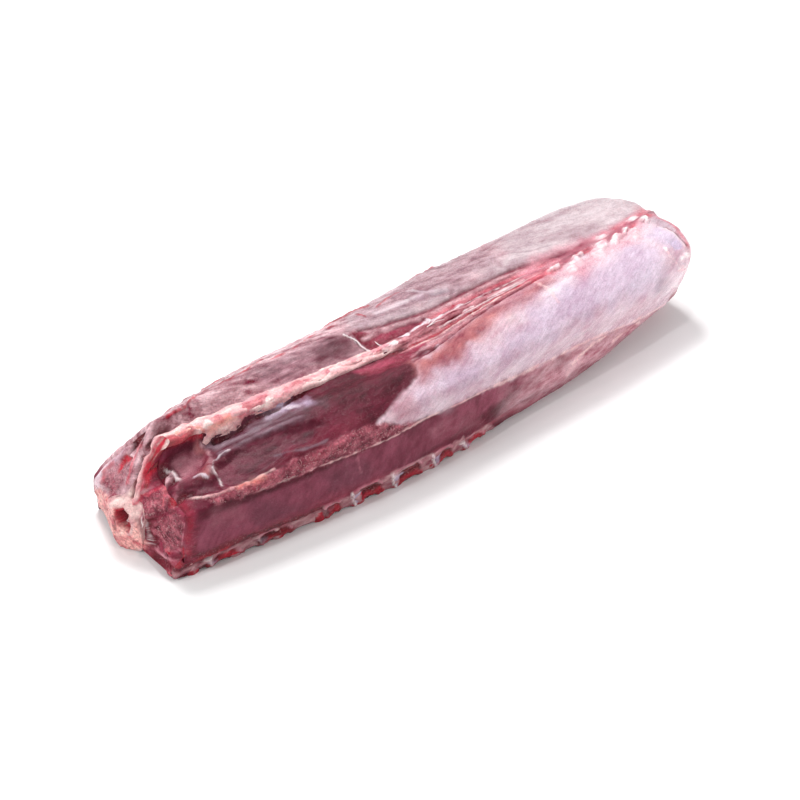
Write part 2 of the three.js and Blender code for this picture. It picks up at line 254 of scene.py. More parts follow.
@dataclass(frozen=True)
class SideLines:
    """The named lines of one side, from beside the ridge down to the lower edge."""

    valley: Line
    crown: Line
    shoulder: Line
    seam: Line
    edge: Line


NEAR_LINES = SideLines(
    valley=Line((8, 9, 9, 10, 10, 10, 9, 8), (48, 54, 60, 63, 65, 66, 66, 65)),
    crown=Line((22, 23, 24, 26, 27, 28, 29, 30), (46, 52, 60, 64, 67, 68, 67, 64)),
    shoulder=Line((40, 42, 44, 45, 46, 46, 45, 43), (43, 47, 51, 54, 55, 55, 54, 53)),
    seam=Line((44, 46, 47, 47, 45, 43, 40, 35), (38, 40, 41, 40, 37, 31, 25, 23)),
    edge=Line((44, 46, 48, 47.5, 45, 41, 33, 26), (0, 0, 0, 0, 4, 8, 13, 18)),
)
FAR_LINES = SideLines(
    valley=Line((8, 9, 9, 10, 10, 10, 9, 8), (56, 58, 61, 63, 65, 66, 66, 65)),
    crown=Line((16, 19, 23, 26, 28, 28, 28, 28), (66, 67, 69, 69, 69, 68, 67, 66)),
    shoulder=Line((31, 36, 44, 49, 54, 56, 57, 55), (45, 50, 57, 59, 61, 60, 58, 52)),
    seam=Line((38, 41, 45, 49, 53, 55, 54, 49), (36, 37, 39, 40, 40, 37, 33, 30)),
    edge=Line((44, 45, 46, 46, 45, 43, 41, 36), (0, 0, 0, 0, 3, 6, 10, 15)),
)


@dataclass(frozen=True)
class RoundedEnd:
    """The rounded lumbar end, where each section shrinks towards the spine."""

    start_x: float = 192.0
    length: float = 26.0
    centre_height: float = 34.0
    shrink: float = 0.82
    power: float = 3.2
    root: float = 2.2
    share: float = 0.75
    top_share: float = 0.35

    def drawn_in(self, out: np.ndarray, height: np.ndarray, x: np.ndarray) -> tuple[np.ndarray, np.ndarray]:
        """Draws a section in towards the centre as the end nears, less so above it.

        Args:
            out: Distance from the spine.
            height: Height above the surface that the saddle lies on.
            x: Place along the spine.

        Returns:
            The new distance and height.
        """
        reach = np.clip((x - self.start_x) / self.length, 0, 1)
        loss = self.share * (1 - (1 - self.shrink * reach ** self.power) ** (1 / self.root))
        rise = height - self.centre_height
        kept = 1 - np.where(rise > 0, self.top_share * loss, loss)
        return out * (1 - loss), self.centre_height + rise * kept


@dataclass(frozen=True)
class SawCut:
    """The sawn rib end: how far each part of it stands behind the first station.

    The cut slants back to the near side and leans back above the canal, and the near loin and the far
    chest wall stand further back than the bone.
    """

    bone: float = -10.0
    slant: float = 6.5
    slant_reach: tuple[float, float] = (-8, 12)
    near_loin: float = 8.0
    near_loin_reach: tuple[float, float] = (13, 21)
    near_loin_heights: tuple[float, float] = (3, 16)
    far_wall: float = 6.0
    far_wall_reach: tuple[float, float] = (6, 34)
    lean: float = 31.0
    lean_foot: float = 26.0
    lean_height: float = 38.0
    lean_most: float = 1.1
    near_lean_loss: float = 0.6
    blend_length: float = 60.0

    def back(self, far: np.ndarray, height: np.ndarray) -> np.ndarray:
        """How far back the cut is.

        Args:
            far: Distance from the middle of the spine, above 0 on the far side.
            height: Height above the surface that the saddle lies on.

        Returns:
            The distance in mm along +X.
        """
        slant = self.slant * ease(-far, *self.slant_reach)
        near_loin = ease(-far, *self.near_loin_reach) * ease(height, *self.near_loin_heights)
        far_wall = self.far_wall * ease(far, *self.far_wall_reach)
        lean = self.lean * np.clip((height - self.lean_foot) / self.lean_height, 0, self.lean_most)
        return (self.bone + slant + self.near_loin * near_loin + far_wall
                + lean * (1 - self.near_lean_loss * near_loin))


@dataclass(frozen=True)
class SaddleForm:
    """The saddle's whole form, with the same sizes as its solids."""

    stations: Values = (-206, -166, -106, -36, 44, 114, 174, 217)
    spine_y: Values = (3, 1, -4, -8, -6, -5, -2, 3)
    ridge_height: Values = (64, 65, 65, 65, 66, 67, 67, 68)
    ridge_half_width: float = 3.5
    ridge_drop: float = 1.0
    flank_bulge: float = 2.5
    seam_place: float = 5.0
    edge_place: float = 7.0
    wall_thickness: Values = (7, 7, 7, 7, 8, 9, 10, 10)
    wall_foot_share: float = 0.45
    hollow_side: Line = Line((33, 34, 36, 36, 32, 27, 20, 15), (2, 10, 13, 11, 4, -0.5, -0.5, 4))
    hollow_top: Line = Line((25, 25, 26, 26, 20, 13, 12, 11), (2, 15, 20, 17, 7, -0.5, -0.5, 4))
    hollow_root_out: float = 9.0
    hollow_root_height: Values = (1, 14, 18, 15, 9, 6, 6, 8)
    underside_end: float = 4.0
    band_height: float = 12.0
    band_step: float = 2.5
    band_depth: float = 2.6
    band_end_x: float = 20.0
    band_fade: float = 40.0
    scallop_depth: float = 1.3
    rib_first_x: float = -196.5
    rib_pitch: float = 27.4
    lumbar_end: RoundedEnd = RoundedEnd()
    saw_cut: SawCut = SawCut()
    reach_steps: int = 140
    reach_margin: float = 1e-6

    @property
    def first_x(self) -> float:
        """The station of the rib end."""
        return self.stations[0]

    @property
    def last_x(self) -> float:
        """The station of the lumbar end."""
        return self.stations[-1]

    def lines(self, side: Side) -> SideLines:
        """The named lines of a side."""
        return NEAR_LINES if side is Side.NEAR else FAR_LINES

    def along(self, values: Values, x: np.ndarray) -> np.ndarray:
        """A size at x: a cubic curve through its values at the stations.

        Args:
            values: One value for each station.
            x: Places along the spine.

        Returns:
            The size at each place.
        """
        places, values = np.array(self.stations, float), np.array(values, float)
        steps = np.diff(places)
        slopes = np.diff(values) / steps
        inner = (slopes[:-1] * steps[1:] + slopes[1:] * steps[:-1]) / (steps[1:] + steps[:-1])
        tangents = np.concatenate([slopes[:1], inner, slopes[-1:]])
        x = np.clip(x, places[0], places[-1])
        i = np.clip(np.searchsorted(places, x, side="left") - 1, 0, len(places) - 2)
        t = (x - places[i]) / steps[i]
        rise = t * t * (3 - 2 * t)
        bend = tangents[i] * t * (1 - t) ** 2 - tangents[i + 1] * t * t * (1 - t)
        return values[i] + (values[i + 1] - values[i]) * rise + steps[i] * bend

    def line_at(self, line: Line, x: np.ndarray) -> np.ndarray:
        """A named line's distance from the spine and height at x."""
        return np.stack([self.along(line.out, x), self.along(line.height, x)])

    def place(self, x: np.ndarray, far: np.ndarray, height: np.ndarray) -> np.ndarray:
        """The point at a station, a distance to the far side and a height.

        Args:
            x: Stations, which the saw cut moves near the rib end.
            far: Distances from the spine, above 0 on the far side.
            height: Heights, raised to 0 where they are lower.

        Returns:
            Three numbers in the last axis.
        """
        blend = 1 - ease(x, self.first_x, self.first_x + self.saw_cut.blend_length)
        return np.stack([x + blend * self.saw_cut.back(far, height), self.along(self.spine_y, x) + far,
                         np.maximum(height, 0)], axis=-1)

    def band_share(self, x: np.ndarray) -> np.ndarray:
        """1 where the chest wall's lower band is trimmed off the ribs, fading to 0 behind the last one."""
        return 1 - ease(x, self.band_end_x, self.band_end_x + self.band_fade)

    def between_ribs(self, x: np.ndarray) -> np.ndarray:
        """1 midway between two ribs and 0 on a rib, as a cosine wave that fades with the band."""
        return self.band_share(x) * wave((x - self.rib_first_x) / self.rib_pitch)

    def outside(self, side: Side, x: np.ndarray, u: np.ndarray) -> tuple[np.ndarray, np.ndarray]:
        """The outside of one side: a smooth curve down the section through its named lines.

        Args:
            side: Which side.
            x: Stations.
            u: Place on the section.

        Returns:
            Distance from the spine and height.
        """
        x, u = np.broadcast_arrays(np.asarray(x, float), np.asarray(u, float))
        lines = self.lines(side)
        ridge = self.along(self.ridge_height, x)
        valley, crown, shoulder, seam, edge = (
            self.line_at(getattr(lines, name), x) for name in ("valley", "crown", "shoulder", "seam", "edge")
        )
        flank = (seam + edge) / 2
        flank[0] += self.flank_bulge
        ridge_edge = np.stack([self.ridge_half_width + 0 * ridge, ridge - self.ridge_drop])
        top = np.stack([0 * ridge, ridge])
        points = np.stack([top, ridge_edge, valley, crown, shoulder, seam, flank, edge])
        out, height = curve_point(points, u)
        above = height - edge[1]
        below_seam = u > self.seam_place
        band = np.where(below_seam, 1 - ease(above, self.band_height - self.band_step, self.band_height), 0)
        low = np.where(below_seam, 1 - np.clip(above / self.band_height, 0, 1), 0)
        lift = self.scallop_depth * self.between_ribs(x) * low
        return self.lumbar_end.drawn_in(out - self.band_depth * self.band_share(x) * band, height + lift, x)

    def underside(self, side: Side, x: np.ndarray, v: np.ndarray) -> tuple[np.ndarray, np.ndarray]:
        """The underside of one side, from the inside of the wall's foot at v 0 to the spine at v 4.

        The hollow's two lines are as much wider on the far side as its lower edge is.

        Args:
            side: Which side.
            x: Stations.
            v: Place on the underside.

        Returns:
            Distance from the spine and height.
        """
        x, v = np.broadcast_arrays(np.asarray(x, float), np.asarray(v, float))
        edge_out, edge_height = self.line_at(self.lines(side).edge, x)
        foot_height = edge_height * self.wall_foot_share + self.scallop_depth * self.between_ribs(x)
        hollow = np.stack([self.line_at(line, x) for line in (self.hollow_side, self.hollow_top)])
        hollow[:, 0] *= edge_out / self.along(NEAR_LINES.edge.out, x)
        root = self.along(self.hollow_root_height, x)
        points = np.stack([np.stack([edge_out - self.along(self.wall_thickness, x), foot_height]), *hollow,
                           np.stack([self.hollow_root_out + 0 * root, root]), np.stack([0 * root, root])])
        return self.lumbar_end.drawn_in(*curve_point(points, v), x)

    def reach(self, side: Side, x: np.ndarray, u: np.ndarray) -> np.ndarray:
        """The way over the surface from the ridge to each place, below 0 on the near side.

        The section is cut into short stretches, whose lengths are added up.

        Args:
            side: Which side.
            x: Stations.
            u: Place on the section.

        Returns:
            The way in mm.
        """
        count = self.reach_steps
        x, u = np.asarray(x, float), np.asarray(u, float)
        out, height = self.outside(side, x[..., None], np.linspace(0, self.edge_place, count + 1))
        lengths = np.hypot(np.diff(out, axis=-1), np.diff(height, axis=-1))
        total = np.concatenate([np.zeros(x.shape + (1,)), np.cumsum(lengths, axis=-1)], axis=-1)
        index = np.clip(u / self.edge_place * count, 0, count - self.reach_margin) + 0 * x
        low = np.floor(index).astype(int)
        total = np.broadcast_to(total, index.shape + (count + 1,))
        first = np.take_along_axis(total, low[..., None], -1)[..., 0]
        second = np.take_along_axis(total, low[..., None] + 1, -1)[..., 0]
        return side.value * (first + (index - low) * (second - first))

    def skin_point(self, side: Side, x: np.ndarray, u: np.ndarray) -> np.ndarray:
        """The point of the outside at a station and a place on the section."""
        out, height = self.outside(side, x, u)
        return self.place(np.broadcast_to(x, out.shape), side.value * out, height)


FORM = SaddleForm()


@dataclass(frozen=True)
class Look:
    """How one tissue looks: its two colours, the size of its mottling, and how it feels to the light.

    Turn is the angle in degrees from the spine to its fibres, on the surface laid flat.
    """

    dark: str
    light: str
    along: float = 14.0
    across: float = 5.0
    fibre: float = 0.3
    grain: float = 0.2
    matt: float = 0.4
    turn: float = 0.0


class Tissue(Enum):
    """The tissues that show on a fresh saddle."""

    MUSCLE = Look("#44091a", "#671a30", 26, 10, 0.35, 0.1, 0.38, 12)
    MUSCLE_RED = Look("#641426", "#9a3850", 14, 4, 0.5, 0.2, 0.32)
    FLANK = Look("#6f2a3d", "#8f4458", 16, 11, 0.12, 0.06, 0.36, 60)
    FLANK_RED = Look("#751c2f", "#a84a5c", 18, 4, 0.3, 0.1, 0.34)
    FLANK_PALE = Look("#b06877", "#eebfc8", 18, 7, 0.4, 0.1, 0.28)
    # Painted shade: the dark band under the step below the near seam.
    STEP_SHADE = Look("#381522", "#5b2b3b", 12, 8, 0.2, 0.1, 0.34)
    # Painted shade: the dark colour inside the near loin's pouches.
    HOLLOW_SHADE = Look("#441220", "#6e2a3c", 14, 5, 0.5, 0.1, 0.28)
    SILVER = Look("#bb8d9d", "#dec5cf", 30, 12, 0.4, 0.1, 0.26, 26)
    LAVENDER = Look("#b098b3", "#d4c5d9", 30, 14, 0.4, 0.1, 0.24, 26)
    # Pale silverskin, lightened further as painted sheen and glints.
    SILVER_AND_SHEEN = Look("#d3bdcc", "#f4ebf0", 14, 6, 0.45, 0.05, 0.18, 26)
    PEACH = Look("#8b3d4a", "#b56e70", 12, 6, 0.35, 0.1, 0.3, 26)
    WHITE_FILM = Look("#a58a92", "#cbbabf", 30, 7, 0.4, 0.05, 0.28, -12)
    GREY_FILM = Look("#82404f", "#d9b2b9", 13, 3.2, 0.7, 0.4, 0.26, -16)
    STRIPE = Look("#4e1f31", "#b08591", 26, 1.5, 0.9, 0.1, 0.28)
    HAZE = Look("#4f303f", "#98828f", 12, 2.6, 0.9, 0.1, 0.24)
    GRANULE = Look("#62142a", "#ad5b69", 5, 2.5, 0.05, 0.9, 0.26)
    LIGAMENT = Look("#762334", "#c8868f", 20, 1.5, 1.0, 0.4, 0.24)
    BLOOD = Look("#85081a", "#c0243a", 6, 3, 0.2, 0.3, 0.2)
    # Dark clotted blood. It is also used as painted shade: the dark arches between the rib feet and a
    # painted shadow line along the ridge fat.
    CLOT_AND_SHADE = Look("#3b0710", "#6c1220", 5, 3, 0.2, 0.4, 0.2)
    FAT = Look("#e3a4a9", "#fcdcd8", 8, 3, 0.2, 0.3, 0.3)
    FAT_ORANGE = Look("#e47c6e", "#fbc2b0", 8, 3, 0.2, 0.2, 0.3)
    FAT_RED = Look("#ab2c42", "#d97581", 5, 3, 0.2, 0.4, 0.28)
    FAT_PINK = Look("#bb6175", "#db9ca8", 12, 5, 0.3, 0.2, 0.28)
    # Wet fat, lightened almost to white as painted glints.
    WET_FAT_AND_GLINT = Look("#e8b4bd", "#fffafa", 4, 3, 0.1, 0.3, 0.03)
    BONE = Look("#c3686e", "#f8c0b8", 4, 4, 0.0, 0.9, 0.36)
    LAMINA = Look("#c58f92", "#ebcbc6", 6, 4, 0.0, 0.4, 0.32)
    PLEURA = Look("#7d3243", "#b0717e", 26, 10, 0.2, 0.1, 0.26)
    RIB_FILM = Look("#94505d", "#c99a9e", 6, 3, 0.1, 0.2, 0.18)
    # Painted shade: the dark line in the groove beside the ligament.
    GROOVE_SHADE = Look("#561527", "#8a3447", 12, 3, 0.3, 0.2, 0.34)
    # White sinew. It is also used as painted glint: the white lines on the rib feet and at the near loin's
    # tip.
    SINEW_AND_GLINT = Look("#e0c4ca", "#fbf3f3", 8, 2, 0.6, 0.0, 0.16)


@dataclass(frozen=True)
class Mark:
    """A patch of one tissue, or a streak where it has a width, with its corners on the canvas.

    In mm, soft is how far its edge fades, ragged how far the edge wanders and rise how high it stands.
    Share is how much of what lies under it is covered.
    """

    tissue: Tissue
    width: float
    soft: float
    ragged: float
    rise: float
    share: float
    places: Places


# Each row is a mark: its tissue, width, soft, ragged, rise and share, then its corners. On a side a corner
# is a station and a place on the section, at an end a distance to the far side and a height. Later marks
# lie over earlier ones.

# The near chest wall and flank, red at the ribs and dried pale towards the lumbar end, with two dark patches
# of painted shade under the seam's step.
NEAR_WALL = (
    Mark(Tissue.FLANK, 0, 2, 1, 0, 1, ((-230, 5), (-30, 5), (100, 5), (230, 5.6), (230, 7.6), (-230, 7.6))),
    Mark(Tissue.FLANK_RED, 0, 4, 3, 0, 0.6, ((-215, 6.1), (-160, 6.1), (-80, 6.15), (0, 6.4), (60, 6.7),
        (60, 7.6), (-215, 7.6))),
    # Painted shade: two dark patches under the seam's step.
    Mark(Tissue.STEP_SHADE, 0, 8, 4, 0, 0.5, ((-164, 5.1), (-150, 5.2), (-136, 5.6), (-132, 6), (-150, 6.1),
        (-162, 5.7))),
    Mark(Tissue.STEP_SHADE, 0, 6, 4, 0, 0.5, ((-112, 5.4), (-96, 5.2), (-82, 5.5), (-80, 6), (-94, 6.1),
        (-110, 5.8))),
    Mark(Tissue.CLOT_AND_SHADE, 0, 1.8, 1.8, 0, 0.8, ((-209, 6.05), (-196, 6.12), (-180, 6.18), (-160, 6.22),
        (-118, 6.3), (-108, 6.5), (-170, 7.3), (-209, 7.3))),
    Mark(Tissue.BLOOD, 2, 1.2, 2, 0.5, 0.75, ((-207, 6.55), (-198, 6.4), (-188, 6.4), (-178, 6.4))),
    Mark(Tissue.RIB_FILM, 3.4, 1.2, 2.4, 0.8, 0.85, ((-208, 6.95), (-199, 6.8), (-190, 6.75), (-184, 6.7))),
    Mark(Tissue.FLANK_PALE, 0, 22, 6, 0, 0.95, ((30, 6), (60, 5.3), (90, 4.9), (146, 4.9), (190, 5.2),
        (222, 5.6), (222, 7.4), (150, 7.4), (100, 7.4), (60, 6.9))),
    Mark(Tissue.FAT_PINK, 0, 4, 3, 0, 0.7, ((129, 4.4), (137, 4.35), (150, 4.7), (160, 5), (140, 5.1),
        (132, 4.8))),
)
# Silverskin over the rear of the near loin, with bright bands of painted sheen and areas of peach and blue.
NEAR_SILVERSKIN = (
    Mark(Tissue.SILVER, 0, 2, 2.2, 0.4, 1, ((-75, 4.11), (-66, 3.9), (-54, 3.64), (-40, 3.48), (-33, 3.3),
        (-28, 3), (-27, 2.7), (-11, 2.68), (11, 2.42), (33, 2.15), (54, 1.9), (77, 1.6), (97, 1.4),
        (125, 1.3), (155, 1.2), (190, 1.2), (225, 1.2), (225, 5.9), (187, 5.5), (165, 5.2), (146, 5.1),
        (118, 5.02), (94, 4.98), (45, 5.1), (18, 4.99), (-13, 4.93), (-39, 4.88), (-58, 4.75), (-66, 4.5))),
    # Painted sheen: bright bands over the silverskin.
    Mark(Tissue.SILVER_AND_SHEEN, 0, 16, 6, 0, 0.25, ((112, 2.4), (150, 1.8), (225, 1.6), (225, 5.2), (180, 5),
        (150, 4.4), (125, 3.4))),
    Mark(Tissue.SILVER_AND_SHEEN, 0, 6, 5, 0, 0.4, ((-40, 4.4), (20, 4.4), (90, 4.2), (140, 4.3), (120, 4.8),
        (20, 4.85), (-40, 4.8))),
    Mark(Tissue.SILVER_AND_SHEEN, 0, 8, 5, 0, 0.6, ((40, 3), (90, 2.5), (110, 2.6), (100, 3.2), (60, 3.5))),
    Mark(Tissue.FLANK_RED, 0, 5, 2, 0, 0.35, ((-68, 4.3), (-56, 3.7), (-46, 3.6), (-44, 4), (-54, 4.5))),
    Mark(Tissue.PEACH, 0, 6, 4, 0, 1, ((-29, 2.75), (-7, 2.7), (26, 2.3), (50, 2.4), (30, 3), (13, 3.3),
        (-14, 3.5), (-32, 3.5))),
    Mark(Tissue.PEACH, 0, 9, 4, 0, 0.7, ((20, 2.3), (60, 1.85), (100, 1.6), (98, 2.4), (70, 3), (30, 3))),
    Mark(Tissue.LAVENDER, 0, 10, 6, 0, 0.65, ((-40, 3.8), (-15, 3.5), (22, 3.6), (78, 3.1), (124, 2.7),
        (160, 2.5), (178, 3.2), (165, 4.3), (125, 4), (46, 4.2), (-11, 4.3))),
    Mark(Tissue.LAVENDER, 0, 4, 2, 0, 0.8, ((182, 2.5), (198, 2.4), (203, 3.4), (188, 3.3))),
    Mark(Tissue.HAZE, 0, 4, 2, 0, 0.4, ((168, 4), (175, 4.04), (182, 4.34), (180, 4.6), (164, 4.4))),
)
# Grainy red flesh along the seam, where the silverskin is torn off.
NEAR_TORN_SEAM = (
    Mark(Tissue.GRANULE, 0, 1.5, 2, 0.7, 1, ((-196, 3.8), (-172, 3.9), (-153, 4.02), (-136, 4), (-115, 4),
        (-91, 3.9), (-73, 3.98), (-60, 4.5), (-45, 4.88), (-72, 5.02), (-90, 5.05), (-116, 5), (-139, 5),
        (-160, 4.9), (-184, 4.67))),
    Mark(Tissue.FAT_RED, 0, 4, 4, 0, 0.4, ((-175, 4.05), (-150, 4.2), (-120, 4.3), (-100, 4.2), (-120, 4.6),
        (-160, 4.5))),
    Mark(Tissue.FLANK_RED, 0, 5, 3, 0, 0.25, ((-150, 3.5), (-120, 3.6), (-80, 3.5), (-76, 3.95), (-110, 4),
        (-140, 3.95))),
)
# The bare front of the near loin, the pouch at its chest end and the films over both. The pouches are
# darkened with painted shade, and streaks along the top of the big one carry painted sheen.
NEAR_BARE_LOIN = (
    Mark(Tissue.HAZE, 0, 5, 6, -0.6, 0.3, ((-166, 1.9), (-140, 1.75), (-118, 1.45), (-100, 1.9), (-92, 2.6),
        (-106, 3), (-125, 2.95), (-140, 2.6), (-158, 2.4))),
    # Painted shade: the big pouch and two small ones, sunk and coloured dark.
    Mark(Tissue.HOLLOW_SHADE, 0, 3, 4, -3, 1, ((-178, 3.6), (-171, 3.1), (-158, 2.85), (-140, 2.9), (-120, 3.1),
        (-104, 3.35), (-112, 3.6), (-136, 3.8), (-150, 3.9), (-167, 3.9))),
    Mark(Tissue.HOLLOW_SHADE, 0, 3, 3.5, -1.5, 1, ((-202, 1.5), (-178, 1.7), (-174, 2.3), (-177, 2.8),
        (-186, 2.95), (-195, 2.8), (-200, 2))),
    Mark(Tissue.PLEURA, 0, 3, 3, 0, 0.75, ((-198, 1.7), (-180, 1.8), (-175, 2.4), (-182, 2.9), (-196, 2.8))),
    Mark(Tissue.HOLLOW_SHADE, 0, 2, 2.5, -2, 1, ((-198, 3.2), (-186, 3.4), (-179, 3.8), (-190, 3.75),
        (-200, 3.5))),
    Mark(Tissue.CLOT_AND_SHADE, 0, 2, 2.5, -2, 0.7, ((-207, 1.6), (-203, 1.7), (-200, 2.1), (-203, 2.35),
        (-207, 2.3))),
    Mark(Tissue.BLOOD, 2.4, 1, 0.8, 0, 0.85, ((-205, 1.2), (-186, 1.25), (-170, 1.4))),
    Mark(Tissue.PEACH, 6, 3, 3, 1.2, 0.6, ((-176, 1.7), (-171, 2.3), (-175, 2.9), (-182, 3.1))),
    Mark(Tissue.GREY_FILM, 3, 2, 2.5, 1, 0.7, ((-172, 1.75), (-168, 2.3), (-171, 2.8), (-176, 3.2))),
    # Painted sheen: two blue-grey streaks of film along the top of the big pouch.
    Mark(Tissue.HAZE, 3, 2.4, 2, 0.8, 0.5, ((-166, 2.15), (-150, 2.35), (-134, 2.4), (-118, 2.25))),
    Mark(Tissue.HAZE, 2.4, 2, 2, 0.8, 0.4, ((-162, 2.7), (-144, 2.72), (-128, 2.8), (-110, 2.95))),
    Mark(Tissue.LAVENDER, 7, 4, 3, 0.3, 0.85, ((-120, 1.7), (-108, 1.95), (-100, 2.3))),
    # Painted sheen: a bright streak in the lavender film.
    Mark(Tissue.SILVER_AND_SHEEN, 1.6, 1.2, 1.2, 0, 0.6, ((-118, 1.8), (-110, 2), (-104, 2.25))),
    Mark(Tissue.SINEW_AND_GLINT, 1.2, 0.6, 0.6, 0.8, 0.85, ((-176, 3.7), (-174, 3.4), (-173.5, 3.1))),
    Mark(Tissue.SILVER_AND_SHEEN, 0.9, 0.6, 0.8, 0.6, 0.7, ((-173.5, 3.1), (-170, 2.9), (-162, 2.76),
        (-154, 2.72))),
    Mark(Tissue.SILVER_AND_SHEEN, 1.4, 0.8, 1.2, 0.8, 0.8, ((-188, 3), (-184, 3.1), (-181, 3.3))),
    Mark(Tissue.HAZE, 1.2, 0.9, 0.8, 0, 0.6, ((-135, 3.55), (-119, 3.81), (-104, 3.83))),
)
# Thin lines of fat along the seam between the loin and the chest wall.
NEAR_SEAM_LINES = (
    Mark(Tissue.FAT, 1.3, 0.8, 1.2, 0.8, 0.7, ((-201, 3.5), (-192, 3.8), (-186, 3.9), (-177, 4), (-158, 4),
        (-141, 3.98))),
    Mark(Tissue.FAT_ORANGE, 3.4, 1.8, 2, 0, 0.5, ((-168, 4.05), (-158, 4.06), (-148, 4.08))),
    Mark(Tissue.FAT, 1, 0.6, 0.9, 0.3, 0.75, ((-120, 4.95), (-100, 5.02), (-63, 5.05), (-39, 4.9),
        (-13, 4.95), (18, 5))),
    Mark(Tissue.FAT, 0.8, 0.6, 0.9, 0, 0.35, ((-160, 4.9), (-143, 4.95), (-120, 4.95))),
    Mark(Tissue.FAT, 2, 1.2, 1.4, 0, 0.6, ((18, 5), (45, 5.1), (94, 5), (118, 5), (146, 5.1), (187, 5.3))),
    Mark(Tissue.FAT_PINK, 0.8, 0.8, 0.6, 0, 0.5, ((-89, 5.2), (-89, 5.5), (-88, 5.75))),
)
# The wet red edge where the saw cut meets the near side.
NEAR_CUT_EDGE = (
    Mark(Tissue.MUSCLE_RED, 6, 2.4, 3, 0, 0.75, ((-203, 3.6), (-202, 4.8), (-202, 5.6), (-204, 6.5))),
    Mark(Tissue.BLOOD, 3, 1.8, 2, -0.8, 0.32, ((-205, 3.5), (-204.4, 4.6), (-204, 5.2), (-205, 6))),
)
# The ligament beside the ridge, with sinews and a groove along it. The groove and a line along the ridge
# fat's near edge are darkened with painted shade.
NEAR_LIGAMENT = (
    Mark(Tissue.LIGAMENT, 0, 0.8, 1, 0, 1, ((-36, 1.2), (-24, 2), (-11, 2.6), (11, 2.36), (33, 2.1),
        (55, 1.85), (77, 1.5), (97, 1.36), (118, 0.9), (120, -1), (-20, -1), (-26, 0.6))),
    Mark(Tissue.MUSCLE_RED, 0, 2, 2, 0, 1, ((-60, 1.5), (-41, 1.6), (-27, 1.8), (-16, 1.9), (-6, 1.8),
        (-12, 2.3), (-26, 2.6), (-41, 2.58), (-56, 2.3))),
    Mark(Tissue.GREY_FILM, 3, 1.5, 1, 0.4, 0.7, ((-24, 2.5), (-10, 2.3), (10, 2.1), (30, 1.9))),
    Mark(Tissue.BLOOD, 1.4, 0.8, 0.8, 0, 0.7, ((-30, 1.5), (-10, 1.7), (10, 1.75), (40, 1.45), (74, 1.1),
        (104, 0.8), (116, 0.5))),
    Mark(Tissue.FAT, 1, 0.6, 0.5, 0.5, 0.7, ((-20, 1.9), (4, 2), (30, 1.8), (58, 1.4), (88, 1.2))),
    Mark(Tissue.SINEW_AND_GLINT, 0.8, 0.5, 0.4, 0.4, 0.7, ((8, 1.2), (40, 1), (72, 0.75), (100, 0.5))),
    Mark(Tissue.SINEW_AND_GLINT, 0.7, 0.5, 0.4, 0.4, 0.7, ((30, 0.6), (60, 0.4), (84, 0.3))),
    # Painted shade: a dark line sunk along the groove.
    Mark(Tissue.GROOVE_SHADE, 1.4, 0.8, 0.4, -1.3, 0.9, ((-27, 2.76), (-11, 2.7), (11, 2.42), (33, 2.16),
        (55, 1.92), (77, 1.6), (97, 1.4))),
    # Painted shadow: a dark line along the near edge of the ridge fat.
    Mark(Tissue.CLOT_AND_SHADE, 2, 1, 1.2, -1.4, 0.8, ((-160, 1.95), (-144, 2.05), (-130, 1.75), (-113, 1.85),
        (-97, 1.62), (-89, 1.38), (-79, 1.3), (-70, 0.98), (-60, 1), (-49, 1.15), (-36, 1.35), (-20, 1.55))),
)
# Lumps of wet fat on the spine towards the lumbar end, lightened to white as painted glints.
NEAR_LUMBAR_FAT = (
    Mark(Tissue.FAT_PINK, 8, 5, 4, 0, 0.75, ((84, 0.8), (106, 0.8), (126, 0.9), (150, 0.6), (175, 0.5),
        (200, 0.8), (216, 1.1))),
    Mark(Tissue.FAT_RED, 4, 3, 2.5, 0, 0.8, ((88, 1.2), (100, 1.3), (112, 1.2))),
    Mark(Tissue.FAT_PINK, 9, 5, 4, 0, 0.5, ((112, 2.5), (130, 2.3), (150, 2.1), (175, 2.3))),
    Mark(Tissue.WET_FAT_AND_GLINT, 3.4, 0.8, 2.2, 2.6, 0.9, ((104, 1.3), (109, 1), (113, 0.8))),
    Mark(Tissue.WET_FAT_AND_GLINT, 8, 2.5, 1.5, 2.4, 0.55, ((113, 2.3), (120, 2), (126, 1.9))),
    Mark(Tissue.WET_FAT_AND_GLINT, 4.2, 0.8, 2.2, 2.8, 0.85, ((127, 1.2), (134, 1))),
    Mark(Tissue.WET_FAT_AND_GLINT, 9, 2.5, 1.5, 2.8, 0.6, ((141, 2.2), (148, 1.8), (152, 1.5))),
    Mark(Tissue.WET_FAT_AND_GLINT, 3.6, 0.8, 2, 2.4, 0.9, ((150, 1), (156, 0.9))),
    Mark(Tissue.WET_FAT_AND_GLINT, 5, 0.8, 2.4, 2.8, 0.85, ((161, 2), (165, 1.7), (168, 1.5))),
    Mark(Tissue.WET_FAT_AND_GLINT, 3.2, 0.7, 2, 2.6, 0.95, ((176, 1.5), (178, 1), (180, 0.6))),
    Mark(Tissue.WET_FAT_AND_GLINT, 8, 2.5, 1.5, 2.2, 0.6, ((176, 2.3), (183, 2))),
    Mark(Tissue.WET_FAT_AND_GLINT, 5, 0.8, 2.6, 2.6, 0.85, ((195, 0.8), (200, 1.1), (199, 1.8))),
    Mark(Tissue.FAT_RED, 3, 1.5, 1, -0.8, 0.7, ((184, 1.5), (187, 1), (190, 0.7))),
    Mark(Tissue.FAT_RED, 3.5, 2, 1, -0.8, 0.6, ((137, 0.9), (142, 0.8))),
)
